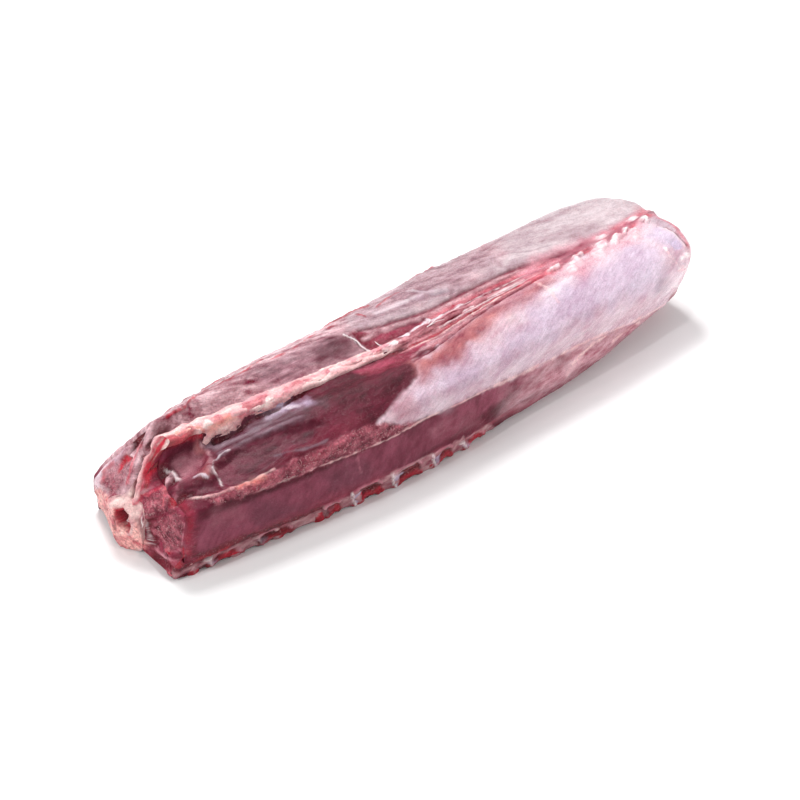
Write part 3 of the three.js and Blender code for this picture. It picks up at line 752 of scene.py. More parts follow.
# Streaks of loose fat over the silverskin and the flank.
NEAR_LOOSE_FAT = (
    Mark(Tissue.PEACH, 0, 4, 3, 0, 0.5, ((75, 2.3), (84, 1.9), (92, 2), (82, 2.7))),
    Mark(Tissue.FAT, 1.6, 1.2, 1, 0.5, 0.6, ((88, 1.75), (87, 2.5), (84, 3), (83, 3.3))),
    Mark(Tissue.FAT, 1.4, 0.9, 1, 0, 0.7, ((87, 5.84), (97, 5.5), (107, 5.29), (121, 5.16))),
    Mark(Tissue.FAT, 1.2, 0.9, 1, 0, 0.5, ((128, 5.9), (140, 5.6), (156, 5.4))),
)
# The tip of the near loin, with its last lumps of fat and its rim. The lumps are lightened with painted
# glints, and a white line on the rim is a painted glint.
NEAR_TIP = (
    Mark(Tissue.LAVENDER, 0, 1.5, 1.5, -1, 1, ((192, 3.1), (200, 3.2), (201, 3.6), (192, 3.5))),
    Mark(Tissue.WET_FAT_AND_GLINT, 1.8, 1, 1.5, 1.2, 0.9, ((185, 3.3), (184, 3.6), (187, 3.9))),
    Mark(Tissue.WET_FAT_AND_GLINT, 2.6, 1, 2, 1.4, 0.9, ((193, 3.85), (198, 3.8), (203, 3.95))),
    Mark(Tissue.WET_FAT_AND_GLINT, 4, 1.5, 2.5, 1.2, 0.8, ((189, 4.1), (196, 4.2), (204, 4.4))),
    Mark(Tissue.WET_FAT_AND_GLINT, 3, 1.5, 2.5, 1, 0.8, ((192, 4.6), (198, 4.7))),
    Mark(Tissue.FLANK_PALE, 0, 4, 3, 0, 0.6, ((204, 3.6), (222, 3.6), (222, 5.6), (198, 5.4), (196, 4.9))),
    Mark(Tissue.HAZE, 0, 3, 3, 0, 0.35, ((200, 1.4), (214, 1.2), (216, 3), (204, 3.2))),
    Mark(Tissue.FAT_RED, 2.6, 1.8, 2.4, 0.5, 0.7, ((205, 0.6), (211, 1.4), (212, 2.4), (209, 3),
        (206, 3.6))),
    Mark(Tissue.CLOT_AND_SHADE, 1.4, 0.8, 0.8, -0.8, 0.7, ((203, 2.6), (205, 3.1), (204, 3.6))),
    # Painted glint: a white line on the tip's rim.
    Mark(Tissue.SINEW_AND_GLINT, 1, 0.6, 0.8, 0.8, 0.8, ((200, 2.4), (202.5, 3), (202, 3.6))),
)
# Torn films and clots at the near corner of the saw cut, and two dull areas of the wall.
NEAR_TORN_FLESH = (
    Mark(Tissue.GREY_FILM, 3.6, 1, 3, 1.8, 0.9, ((-207, 2.75), (-204, 2.5), (-200, 2.3), (-198, 2.15))),
    Mark(Tissue.CLOT_AND_SHADE, 1.6, 0.8, 1.6, -1.4, 0.75, ((-207, 3), (-203, 2.8), (-200, 2.65))),
    Mark(Tissue.PLEURA, 3.4, 1, 3, 1.4, 0.8, ((-206, 3.3), (-202, 3.1), (-199, 2.9))),
    Mark(Tissue.SINEW_AND_GLINT, 1.2, 0.6, 0.8, 0.9, 0.8, ((-202, 1.95), (-199, 2.3), (-199, 2.62), (-197, 2.8))),
    Mark(Tissue.CLOT_AND_SHADE, 1.8, 0.9, 1.6, -1.2, 0.7, ((-204, 3.5), (-200, 3.35), (-196, 3.4))),
    Mark(Tissue.PLEURA, 0, 5, 4, 0, 0.35, ((-190, 4.8), (-170, 5.1), (-168, 5.6), (-190, 5.5))),
    Mark(Tissue.PLEURA, 0, 4, 4, 0, 0.35, ((-40, 5.25), (0, 5.4), (4, 6.2), (-34, 5.8))),
)
NEAR_MARKS = (
    *NEAR_WALL, *NEAR_SILVERSKIN, *NEAR_TORN_SEAM, *NEAR_BARE_LOIN, *NEAR_SEAM_LINES, *NEAR_CUT_EDGE,
    *NEAR_LIGAMENT, *NEAR_LUMBAR_FAT, *NEAR_LOOSE_FAT, *NEAR_TIP, *NEAR_TORN_FLESH,
)

# The films and the flank that everything else on the far side lies on.
FAR_GROUND = (
    Mark(Tissue.GREY_FILM, 0, 4, 4, 0, 1, ((-230, -1), (-20, -1), (-20, 2.5), (0, 3.4), (40, 4.4), (10, 5),
        (-60, 5.3), (-130, 4.9), (-230, 5.3))),
    Mark(Tissue.FLANK, 0, 7, 4, 0, 1, ((-230, 5.2), (-130, 4.9), (-60, 5.3), (10, 5), (60, 5.4), (130, 5.1),
        (230, 5.3), (230, 7.6), (-230, 7.6))),
    Mark(Tissue.FLANK_PALE, 0, 16, 5, 0, 0.7, ((60, 5.6), (120, 5.2), (230, 5.4), (230, 7.4), (110, 7.4))),
    Mark(Tissue.CLOT_AND_SHADE, 0, 1.8, 1.8, 0, 0.7, ((-209, 6.1), (-180, 6.2), (-150, 6.3), (-150, 6.6), (-170, 7.3),
        (-209, 7.3))),
)
# White film over the rear of the far loin, and grey where it is thin.
FAR_FILM = (
    Mark(Tissue.WHITE_FILM, 0, 2.6, 2, 0.4, 1, ((-30, 3.6), (-40, 2.95), (-33, 2.72), (-22, 2.62),
        (-3, 2.43), (14, 2.26), (37, 2.27), (61, 2.3), (96, 2.15), (120, 1.9), (150, 1.6), (175, 1.2),
        (195, 0.8), (225, 0.4), (225, 5.3), (160, 5), (100, 5.3), (60, 4.6), (20, 4.3), (-10, 3.85))),
    Mark(Tissue.GREY_FILM, 0, 10, 5, 0, 0.8, ((-36, 3.4), (-30, 2.7), (0, 2.5), (50, 2.5), (90, 3),
        (110, 4.2), (20, 4.4), (-10, 3.9))),
    Mark(Tissue.HAZE, 0, 8, 5, 0, 0.38, ((-36, 3.4), (-30, 2.7), (0, 2.5), (50, 2.5), (84, 3), (90, 4),
        (20, 4.3), (-10, 3.9))),
)
# The bare strip of muscle between the ridge and the film.
FAR_BARE_STRIP = (
    Mark(Tissue.STRIPE, 0, 9, 5, 0, 0.7, ((-118, 3), (-89, 3.1), (-58, 3.1), (-44, 2.9), (-42, 2.2),
        (-46, 1.4), (-69, 1.9), (-97, 1.9), (-110, 2.3))),
    Mark(Tissue.MUSCLE, 0, 6, 3, 0, 0.65, ((-70, 2.8), (-45, 2.85), (-42, 2.3), (-42, 1.2), (-52, 1.7),
        (-72, 2.2))),
    Mark(Tissue.MUSCLE_RED, 0, 1.2, 1.4, 0, 1, ((-42, 2.91), (-31, 2.5), (-17, 2.18), (3, 1.85), (10, 1.5),
        (-4, 0.8), (-24, 0.9), (-38, 0.9), (-41, 2.3))),
    Mark(Tissue.CLOT_AND_SHADE, 0, 3, 2, 0, 0.35, ((-38, 2.7), (-28, 2.2), (-12, 1.9), (-20, 1.4), (-36, 1.6))),
    Mark(Tissue.GREY_FILM, 3.4, 1.5, 0.8, 0.5, 0.85, ((-36, 2.35), (-25, 2.41), (-11, 2.3), (4, 2.1))),
)
FAR_LIGAMENT = (
    Mark(Tissue.LIGAMENT, 0, 1, 1.2, 0, 1, ((-24, 0.8), (-4, 0.9), (10, 1.6), (6, 2.25), (29, 2.18),
        (61, 2.22), (96, 2.08), (120, 1.3), (120, -1), (-24, -1))),
    Mark(Tissue.GREY_FILM, 3, 1.5, 1, 0.3, 0.7, ((0, 2.2), (29, 2.05), (61, 2.1), (90, 2))),
    Mark(Tissue.FAT_RED, 2.6, 1.5, 1.5, 0, 0.8, ((3, 1.64), (23, 1.7), (52, 1.6), (83, 1.5), (108, 1.1))),
    Mark(Tissue.SINEW_AND_GLINT, 0.9, 0.5, 0.5, 0.4, 0.7, ((4, 0.9), (30, 1.1), (60, 1), (90, 0.9))),
    Mark(Tissue.STRIPE, 1.4, 0.8, 0.6, -0.5, 0.7, ((10, 1.3), (40, 1.45), (70, 1.3))),
    # Painted shade: a dark line sunk along the groove.
    Mark(Tissue.GROOVE_SHADE, 1.6, 0.9, 0.4, -1, 0.9, ((-36, 2.75), (-23, 2.55), (-3, 2.36), (14, 2.2), (37, 2.2),
        (55, 2.22), (76, 2.22), (96, 2.05), (116, 1.8))),
)
FAR_LUMBAR_FAT = (
    Mark(Tissue.FAT_PINK, 4, 6, 4, 0, 0.8, ((91, 1.55), (112, 2), (128, 2.1), (144, 1.85), (160, 1.6),
        (174, 1.05), (191, 1.2), (209, 0.9))),
    Mark(Tissue.FAT_PINK, 6, 4, 4, 0, 0.6, ((88, 0.6), (106, 0.5), (126, 0.5), (150, 0.4), (175, 0.3),
        (200, 0.5), (214, 0.7))),
    Mark(Tissue.FAT_RED, 4, 4, 3, 0, 0.6, ((176, 1), (186, 1.2), (196, 1.3))),
    # Painted glints: two white lumps of wet fat.
    Mark(Tissue.WET_FAT_AND_GLINT, 5, 1.5, 1.5, 1.8, 0.85, ((158, 0.8), (163, 0.6))),
    Mark(Tissue.WET_FAT_AND_GLINT, 5, 1.5, 1.5, 1.6, 0.8, ((190, 0.8), (196, 0.6))),
)
# Folds in the film, with painted shade in their grooves and painted highlights on their crests.
FAR_FOLDS = (
    Mark(Tissue.STRIPE, 1.4, 1.4, 0.5, -0.8, 0.6, ((31, 3.04), (57, 3.16), (100, 3.6), (141, 3.94))),
    Mark(Tissue.STRIPE, 1, 1, 0.5, -0.6, 0.6, ((89, 3.65), (109, 3.9), (121, 3.69), (133, 3.6))),
    Mark(Tissue.STRIPE, 1, 1.2, 0.5, -0.6, 0.5, ((83, 3.05), (96, 2.96), (108, 2.62), (123, 2.49))),
    Mark(Tissue.STRIPE, 1, 1, 0.5, -0.6, 0.6, ((142, 3.9), (147, 3.64), (153, 3.45))),
    Mark(Tissue.STRIPE, 1, 1, 0.8, -0.6, 0.5, ((165, 3.6), (175, 3.59), (183, 3.55))),
    Mark(Tissue.STRIPE, 3.4, 2.2, 1, -1.6, 0.55, ((5, 3.35), (12, 2.9), (26, 2.68), (38, 2.5))),
    Mark(Tissue.STRIPE, 2, 1.8, 1, -1.2, 0.5, ((-24, 3.05), (-10, 2.88), (5, 2.8), (20, 2.7))),
    Mark(Tissue.STRIPE, 2.4, 2, 1, -1.2, 0.5, ((21, 3.2), (28, 2.75), (38, 2.4))),
    Mark(Tissue.SILVER_AND_SHEEN, 3, 2.2, 1.6, 1, 0.5, ((-16, 3.1), (-4, 3), (8, 3), (18, 2.9))),
    Mark(Tissue.SILVER_AND_SHEEN, 2.4, 2, 1.6, 0.8, 0.45, ((16, 3.3), (24, 2.9), (36, 2.6))),
)
# Small vessels and seams that hold blood.
FAR_BLOOD_LINES = (
    Mark(Tissue.BLOOD, 1.5, 0.8, 1.5, 0.6, 0.75, ((-192, 2.80), (-165, 2.78), (-143, 3.18), (-127, 3.19),
        (-114, 3.21), (-96, 3.5))),
    Mark(Tissue.BLOOD, 1.3, 0.7, 1.5, 0.7, 0.75, ((-96, 3.18), (-88, 3.18), (-75, 3.24), (-60, 3.46),
        (-49, 3.61), (-41, 3.44))),
    Mark(Tissue.BLOOD, 2, 0.8, 1.5, 1.2, 0.9, ((-46, 3.75), (-30, 3.85), (-21, 3.88), (-16, 3.64),
        (-12, 3.55))),
    Mark(Tissue.BLOOD, 1, 0.6, 0.8, 0.6, 0.8, ((-24, 3.49), (-23, 3.18))),
    Mark(Tissue.BLOOD, 0.9, 0.6, 0.8, 0.7, 0.8, ((-11, 3.33), (2, 3.46), (12, 3.45))),
    Mark(Tissue.BLOOD, 2, 0.8, 2.5, 0.8, 0.7, ((-180, 3.5), (-150, 3.6), (-120, 3.8))),
    Mark(Tissue.FAT_RED, 1.6, 0.8, 1.6, 1, 0.8, ((25, 3.9), (37, 3.94), (52, 3.93))),
)
# Threads of sinew that cross the bare strip.
FAR_THREADS = (
    Mark(Tissue.SINEW_AND_GLINT, 0.9, 0.4, 0.2, 0.9, 1, ((-46, 2.85), (-42, 2.45), (-40.5, 1.6), (-39.5, 0.62))),
    Mark(Tissue.SILVER_AND_SHEEN, 3, 1.2, 2.6, 1.2, 0.8, ((-24, 0.5), (-10, 0.8), (0, 1.1), (8, 1.4))),
    Mark(Tissue.SILVER_AND_SHEEN, 2, 1, 2.4, 0.8, 0.7, ((10, 1), (22, 1.2), (34, 1.3))),
)
FAR_ENDS = (
    Mark(Tissue.BLOOD, 3, 1.5, 1.5, 0, 0.6, ((-206, 0.4), (-192, 0.6), (-184, 1))),
    Mark(Tissue.CLOT_AND_SHADE, 0, 2, 2.5, -2, 0.8, ((-204, 1.1), (-190, 1.5), (-186, 2.2), (-198, 2.4), (-206, 1.9))),
    Mark(Tissue.FAT_RED, 7, 4, 3, 0.4, 0.6, ((202, 0.6), (209, 1.2), (212, 2.2))),
)
FAR_MARKS = (
    *FAR_GROUND, *FAR_FILM, *FAR_BARE_STRIP, *FAR_LIGAMENT, *FAR_LUMBAR_FAT, *FAR_FOLDS, *FAR_BLOOD_LINES,
    *FAR_THREADS, *FAR_ENDS,
)

# The saw cut: the far loin and far wall, the near ones, the vertebra, and what is torn above it.
CUT_FAR_LOIN = (
    Mark(Tissue.GREY_FILM, 0, 1.5, 1.5, 0, 1, ((50, 8), (50, 40), (34, 48), (24, 66), (12, 74), (4, 72),
        (2, 40), (6, 32), (20, 28))),
    Mark(Tissue.SILVER, 0, 3, 4, 0.6, 0.9, ((30, 26), (42, 22), (44, 34), (36, 44), (26, 50), (24, 40))),
    # Painted glints on the far loin's cut.
    Mark(Tissue.SILVER_AND_SHEEN, 2.6, 1.2, 2.6, 1, 0.8, ((36, 40), (30, 47), (24, 54))),
    Mark(Tissue.SILVER_AND_SHEEN, 2.4, 1.2, 2.6, 0.8, 0.7, ((40, 27), (35, 33))),
    Mark(Tissue.GRANULE, 0, 2, 2.5, 0, 0.6, ((12, 30), (22, 28), (32, 26), (32, 36), (26, 40), (20, 44),
        (10, 44))),
    Mark(Tissue.BLOOD, 2, 1.5, 1.5, 0, 0.6, ((30, 27), (33, 33), (30, 38))),
    Mark(Tissue.FAT_RED, 3, 1, 1, 0, 0.7, ((42, 18), (38, 10), (33, 2), (20, -2), (8, -2))),
    Mark(Tissue.BLOOD, 1.8, 0.8, 1.2, 0.4, 0.8, ((43, 22), (42, 30), (36, 38), (30, 44))),
)
CUT_NEAR_LOIN = (
    Mark(Tissue.GRANULE, 0, 1.5, 1.5, 0.6, 1, ((-8, 36), (-12, 40), (-18, 48), (-31, 47), (-31, 41),
        (-14, 27), (-11, 29))),
    Mark(Tissue.GRANULE, 0, 1, 1, 1.2, 1, ((-18, 26), (-23, 32), (-34, 40), (-40, 37), (-43, 30), (-40, 20),
        (-28, 11), (-20, 14), (-17, 19))),
    Mark(Tissue.CLOT_AND_SHADE, 0, 1.2, 1.4, -0.8, 0.7, ((-15, 7), (-11, 13), (-11, 27), (-16, 26), (-17, 16),
        (-22, 9))),
    Mark(Tissue.FLANK_RED, 0, 1, 1, 0, 1, ((-18, 8), (-30, 9), (-46, 14), (-54, 12), (-50, 0), (-30, -2),
        (-15, 3))),
    Mark(Tissue.CLOT_AND_SHADE, 2.6, 1.2, 1.2, -0.8, 0.7, ((-20, 6), (-32, 6.5), (-44, 8))),
    Mark(Tissue.RIB_FILM, 3, 1.5, 2, 0.6, 0.7, ((-26, 1), (-36, 1.5), (-46, 3))),
    Mark(Tissue.FAT_RED, 2.2, 1.2, 1.2, 0.4, 0.8, ((-15, 4), (-23, 2.5), (-33, 3), (-44, 4))),
)
SAWN_BONE = (
    Mark(Tissue.BONE, 0, 0.8, 0.8, 1, 1, ((40, 16), (36, 4), (17, 1), (5, -2), (-6, 2), (-15, 7), (-12, 13),
        (-10, 24), (-5, 33), (5, 31.5), (10, 28.5), (21, 26), (34, 21))),
    Mark(Tissue.LAMINA, 0, 0.8, 0.5, 0.4, 0.9, ((13, 28), (8, 31.5), (3.6, 33.5), (-5, 35), (-9, 30),
        (-9.5, 22), (-6.5, 19), (-6, 26), (0, 29.5), (6, 28), (9, 25))),
    Mark(Tissue.LAMINA, 1.6, 0.6, 0.3, 0.4, 1, ((-7, 27), (-7.5, 20), (-5, 13.5), (-3, 12))),
    Mark(Tissue.BLOOD, 0, 0.6, 0.3, -2, 1, ((5.2, 26.5), (0.5, 29), (-4.5, 27), (-6.4, 21), (-3.4, 15.4),
        (2, 16.8), (6, 22))),
    Mark(Tissue.CLOT_AND_SHADE, 0, 0.8, 0.4, -5, 1, ((4.2, 25.5), (0, 27.6), (-3.8, 26), (-5.2, 21), (-3, 16.6),
        (1.8, 18), (4.8, 22))),
    Mark(Tissue.BLOOD, 0, 0.7, 0.5, 3.5, 1, ((1.5, 19), (-1.5, 20.5), (-3.8, 19.5), (-2.5, 17.5))),
    Mark(Tissue.SINEW_AND_GLINT, 1, 0.5, 0.4, 1, 0.7, ((0.5, 19.5), (-2.5, 19))),
)
TORN_BLADE = (
    Mark(Tissue.CLOT_AND_SHADE, 0, 1, 1, -3, 1, ((19, 48), (15, 53), (14, 58), (12, 64), (18, 62), (26, 54))),
    Mark(Tissue.BLOOD, 1.4, 0.8, 0.8, 0.5, 0.8, ((28, 52), (22, 58), (15, 66))),
    Mark(Tissue.BLOOD, 0, 1, 1, -1.5, 1, ((20, 38), (17, 43), (14, 48), (23, 46), (24, 42))),
    Mark(Tissue.FAT_RED, 2.4, 1, 0.8, 0.8, 0.8, ((7, 40), (11, 48), (13, 54), (11, 60))),
    Mark(Tissue.CLOT_AND_SHADE, 2.4, 0.8, 0.6, -2, 1, ((-1, 35), (1.5, 42), (4, 47), (7, 53), (9.5, 60))),
    Mark(Tissue.FAT_RED, 3.6, 0.7, 0.8, 1, 0.9, ((-4.5, 34), (-1.5, 41), (0.5, 47), (2, 53), (2.5, 60),
        (1, 68))),
    Mark(Tissue.FAT, 2, 0.8, 0.9, 0.5, 0.9, ((-3.8, 34), (-0.8, 41), (1.2, 47), (2.8, 53), (3.2, 60),
        (2, 68))),
    Mark(Tissue.BLOOD, 2.6, 0.8, 0.6, 0.2, 1, ((-6, 38), (-4, 43), (-1.8, 48), (-0.8, 53), (-1, 58),
        (-2, 66))),
    Mark(Tissue.CLOT_AND_SHADE, 0, 1.5, 1, -3, 1, ((-6.5, 43), (-4.5, 48), (-4, 54), (-6, 60), (-22, 60), (-22, 55),
        (-12, 50))),
    Mark(Tissue.RIB_FILM, 1.8, 0.9, 2.4, 1.5, 0.9, ((-6, 38.5), (-8, 41), (-12, 44), (-15, 49))),
    Mark(Tissue.FAT_RED, 1.4, 0.8, 1.2, 0.8, 0.8, ((-7, 37), (-11, 41), (-15, 44))),
    Mark(Tissue.FAT_RED, 2, 0.8, 0.8, 1, 0.8, ((-16, 46), (-20, 42), (-21, 37))),
)
CUT_RIM = (
    Mark(Tissue.SINEW_AND_GLINT, 0.8, 0.5, 0.7, 0.2, 0.75, ((-12, 30), (-14.5, 24), (-14.8, 18), (-16, 10))),
    Mark(Tissue.BLOOD, 4, 1.4, 1.4, -1, 0.9, ((-25, 42), (-34, 45.5), (-41, 43), (-45.5, 38), (-46, 30),
        (-45, 20), (-44, 12))),
    Mark(Tissue.CLOT_AND_SHADE, 1.4, 0.9, 1.2, -1, 0.8, ((-30, 43), (-38, 42), (-43, 36), (-43.5, 28))),
    Mark(Tissue.FAT_PINK, 1, 0.6, 1.2, 0.6, 0.7, ((-41, 36), (-43, 28), (-40, 19), (-33, 13.5))),
    Mark(Tissue.FAT_RED, 3.6, 0.6, 0.2, 1, 0.9, ((-31, 12.5), (-30, 13.2))),
    Mark(Tissue.FAT_PINK, 0.9, 0.6, 1, 0.6, 0.85, ((-21, 9), (-29, 8.5), (-36, 10), (-44, 14))),
)
RIB_END_MARKS = (
    *CUT_FAR_LOIN, *CUT_NEAR_LOIN, *SAWN_BONE, *TORN_BLADE, *CUT_RIM,
)

# The rounded lumbar end: both loins' cut muscle in their fat, round the vertebra.
LUMBAR_END_MARKS = (
    Mark(Tissue.FAT, 2, 1, 1, 0, 1, ((-40, 66), (-30, 40), (-26, 20), (26, 20), (36, 44), (40, 66))),
    Mark(Tissue.MUSCLE, 0, 2, 1, -0.6, 1, ((-30, 30), (-24, 58), (-6, 62), (-4, 40), (-14, 26))),
    Mark(Tissue.MUSCLE, 0, 2, 1, -0.6, 1, ((4, 40), (6, 62), (26, 58), (36, 34), (14, 26))),
    Mark(Tissue.FAT, 3, 1, 1, 0, 1, ((0, 68), (0, 36))),
    Mark(Tissue.BONE, 0, 0.8, 0.8, 0, 1, ((-13, 22), (-9, 6), (0, 3), (9, 6), (13, 22), (9, 32), (0, 36),
        (-9, 32))),
    Mark(Tissue.CLOT_AND_SHADE, 0, 0.7, 0.3, -5, 1, ((5, 24), (0, 29), (-5, 24), (-4, 20), (0, 18), (4, 20))),
)


@dataclass(frozen=True)
class RibFoot:
    """One length of the chest wall's trimmed edge: a white line of painted highlight, an arch of painted
    shade lipped with red flesh, then a rib's foot.

    X is where it starts, pitch how long it is and foot how long the rib's foot is, in mm. Top is its
    upper edge as a place on the section. Highlight and red are shares: highlight of the painted sheen and
    glint, red of the red flesh.
    """

    x: float
    pitch: float
    foot: float
    top: float
    gloss: float
    red: float
    below_edge: float = 7.3

    def marks(self) -> tuple[Mark, ...]:
        """A film, a dark arch of painted shade, two marks of red flesh and a line of fat, then a painted
        sheen and a painted highlight.
        """
        x, top, below = self.x, self.top, self.below_edge
        arch, last = x + self.pitch - self.foot, x + self.pitch
        middle = (x + arch) / 2
        return (
            Mark(Tissue.RIB_FILM, 0, 1.2, 1.2, 0.3, 0.9, (
                (x - 1, top - 0.05), (last - 1, top - 0.05), (last + 4, below), (x + 4, below))),
            # Painted shade: the dark arch in the recess under the flank's edge.
            Mark(Tissue.CLOT_AND_SHADE, 0, 1, 1.2, -0.8, 1, (
                (x + 2, top + 0.25), (x + 7, top + 0.05), (arch - 3, top + 0.02), (arch + 2, top + 0.25),
                (arch + 3, below), (x + 4, below))),
            Mark(Tissue.BLOOD, 4.2, 0.9, 0.9, 1.4, self.red, (
                (x + 4, 7.15), (x + 7, 6.92), (middle + 2, 6.78), (arch - 1, 6.82), (arch + 2, 6.95))),
            Mark(Tissue.BLOOD, 1.8, 0.8, 1, 0.6, 0.8 * self.red, (
                (x + 5, top + 0.35), (middle, top + 0.2), (arch - 2, top + 0.24))),
            Mark(Tissue.FAT_PINK, 1, 0.6, 0.8, 0.7, 0.8, (
                (x, top), (x + 7, top - 0.06), (arch - 2, top - 0.04), (arch + 2, top + 0.2))),
            # Painted sheen and a painted highlight: a lilac gleam and a white line on the rib's foot.
            Mark(Tissue.LAVENDER, 0, 0.8, 0.5, 1, 0.9 * self.gloss, (
                (x + 0.5, top + 0.1), (x + 8.5, top + 0.2), (x + 5.5, 6.95))),
            Mark(Tissue.SINEW_AND_GLINT, 1.3, 0.5, 0.05, 1.2, self.gloss, (
                (x - 0.5, top), (x + 2, 6.6), (x + 4.8, 7.02))),
        )


NEAR_RIB_FEET = (
    RibFoot(-188, 30, 10, 6.64, 0.7, 0.9),
    RibFoot(-158, 44, 22, 6.6, 0.25, 0.45),
    RibFoot(-114, 19, 8, 6.4, 0.1, 0.9),
    RibFoot(-95, 29, 8, 6.3, 1.0, 1.0),
    RibFoot(-66, 31, 10, 6.25, 1.0, 1.0),
    RibFoot(-35, 25, 10, 6.3, 1.0, 1.0),
    RibFoot(-10, 26, 8, 6.65, 0.8, 0.9),
)
FAR_RIB_FEET = (
    RibFoot(-190, 27, 12, 6.5, 0.2, 0.7),
    RibFoot(-163, 33, 9, 6.4, 0.5, 0.9),
    RibFoot(-130, 22, 12, 6.55, 0.0, 0.5),
    RibFoot(-108, 31, 8, 6.35, 0.7, 1.0),
    RibFoot(-77, 24, 11, 6.5, 0.3, 0.6),
    RibFoot(-53, 36, 14, 6.4, 0.1, 0.8),
    RibFoot(-17, 23, 9, 6.7, 0.4, 0.5),
)

# Each tissue's noise, and each mark's, has a seed this far on from the one before.
SEED_STEP = 7
MIDDLE_TONE = 0.5
MOTTLE_HEIGHT = 0.6
MOTTLE_OCTAVES = 3
STREAK_CELL = (4.0, 1.7)
STREAK_HEIGHT = 0.32
STREAK_SEED = 3
EDGE_CELL = 2.5
EDGE_CELL_BY_RAGGED = 1.8
EDGE_OCTAVES = 3
OVER_RIDGE = 6.0
SWELLS = Pattern((34, 18, 18), 101, 2, 0.5)
RIPPLES = Pattern((20, 5), 102, 3, 0.25)
LUMPS = Pattern(2.8, 103, 2, 0.16, by_grain=0.6)
EVERYWHERE = slice(None)


class Canvas:
    """A stretch of surface that is covered with tissues: their colours, their relief and their gloss."""

    def __init__(self, flat: np.ndarray, solid: np.ndarray, ground: Tissue, seed: int) -> None:
        """Covers the whole stretch with one tissue.

        Args:
            flat: Each point's two numbers on the surface, in mm.
            solid: Each point's place in mm.
            ground: The tissue that everything else lies on.
            seed: Which noise patterns it has.
        """
        self.flat, self.solid, self.seed = flat.reshape(-1, 2), solid.reshape(-1, 3), seed
        count = len(self.flat)
        self.colour = self.tissue_colour(ground, EVERYWHERE)
        self.places = self.turned(ground, EVERYWHERE)
        self.rise = np.zeros(count)
        self.fibre = np.full(count, ground.value.fibre)
        self.grain = np.full(count, ground.value.grain)
        self.matt = np.full(count, ground.value.matt)

    def turned(self, tissue: Tissue, where: np.ndarray | slice) -> np.ndarray:
        """Some points' flat places, turned so that the first number runs along a tissue's fibres."""
        angle = math.radians(tissue.value.turn)
        x, way = self.flat[where].T
        return np.column_stack([x * math.cos(angle) + way * math.sin(angle),
                                way * math.cos(angle) - x * math.sin(angle)])

    def tissue_colour(self, tissue: Tissue, where: np.ndarray | slice) -> np.ndarray:
        """A tissue's colour: between its two colours, by noise drawn out along its fibres.

        Args:
            tissue: Which tissue.
            where: Which points.

        Returns:
            A linear colour for each of these points.
        """
        look = tissue.value
        seed = SEED_STEP * list(Tissue).index(tissue)
        flat = self.turned(tissue, where)
        mottle = Pattern((look.along, look.across), seed, MOTTLE_OCTAVES, MOTTLE_HEIGHT)
        streak = Pattern(STREAK_CELL, seed + STREAK_SEED, 2, STREAK_HEIGHT)
        return mix(linear(look.dark), linear(look.light), MIDDLE_TONE + mottle.at(flat) + streak.at(flat))

    def stain(self, tissue: Tissue, share: np.ndarray) -> None:
        """Moves every point's colour towards a tissue's by the share given for it."""
        self.colour = mix(self.colour, self.tissue_colour(tissue, EVERYWHERE), share)

    def lay(self, mark: Mark, places: np.ndarray) -> None:
        """Lays one mark over what is there, with an edge that noise makes ragged.

        Args:
            mark: What is laid.
            places: Its corners in the canvas's own two numbers.
        """
        self.seed += SEED_STEP
        margin = mark.width / 2 + mark.soft + mark.ragged
        where = np.all((self.flat > places.min(0) - margin) & (self.flat < places.max(0) + margin), axis=1)
        if not where.any():
            return
        flat = self.flat[where]
        if mark.width > 0:
            depth = mark.width / 2 - line_distance(flat, places, False)
        else:
            depth = patch_depth(flat, places)
        edge = Pattern(EDGE_CELL + EDGE_CELL_BY_RAGGED * mark.ragged, self.seed, EDGE_OCTAVES, mark.ragged)
        cover = ease(depth + edge.at(self.solid[where]), -mark.soft, mark.soft)
        weight = mark.share * cover
        look = mark.tissue.value
        mostly = weight[:, None] > 0.5
        self.colour[where] = mix(self.colour[where], self.tissue_colour(mark.tissue, where), weight)
        self.rise[where] += mark.rise * cover
        self.places[where] = np.where(mostly, self.turned(mark.tissue, where), self.places[where])
        for values, goal in ((self.fibre, look.fibre), (self.grain, look.grain), (self.matt, look.matt)):
            values[where] += (goal - values[where]) * weight

    def lay_back(self, side: Side, marks: tuple[Mark, ...]) -> None:
        """Lays marks whose places are stations and places on a side's section.

        A place below 0 lies past the ridge on the other side.

        Args:
            side: Which side.
            marks: What is laid, in this order.
        """
        for mark in marks:
            x, u = np.array(mark.places, float).T
            past_ridge = side.value * OVER_RIDGE * u
            way = np.where(u < 0, past_ridge, FORM.reach(side, x, np.maximum(u, 0)))
            self.lay(mark, np.column_stack([x, way]))

    def lay_end(self, marks: tuple[Mark, ...]) -> None:
        """Lays marks whose places are distances to the far side and heights."""
        for mark in marks:
            self.lay(mark, np.array(mark.places, float))

    def join(self, other: "Canvas", rows: int) -> None:
        """Takes in a canvas that lies to the right of this one, row by row.

        Args:
            other: The other canvas, with as many rows.
            rows: How many rows of points both have.
        """
        for name in ("flat", "solid", "colour", "places", "rise", "fibre", "grain", "matt"):
            left, right = getattr(self, name), getattr(other, name)
            rest = left.shape[1:]
            both = np.concatenate([left.reshape(rows, -1, *rest), right.reshape(rows, -1, *rest)], axis=1)
            setattr(self, name, both.reshape(-1, *rest))

    def relief(self) -> np.ndarray:
        """Each point's rise in mm: its marks', with broad swells, lengthwise ripples and small lumps."""
        lumps = LUMPS.at(self.solid, self.grain)
        return self.rise + SWELLS.at(self.solid) + RIPPLES.at(self.flat) + lumps


def spread(first: np.ndarray, second: np.ndarray) -> np.ndarray:
    """Two numbers for each point of a grid, from arrays that fit together."""
    return np.stack(np.broadcast_arrays(first, second), -1)


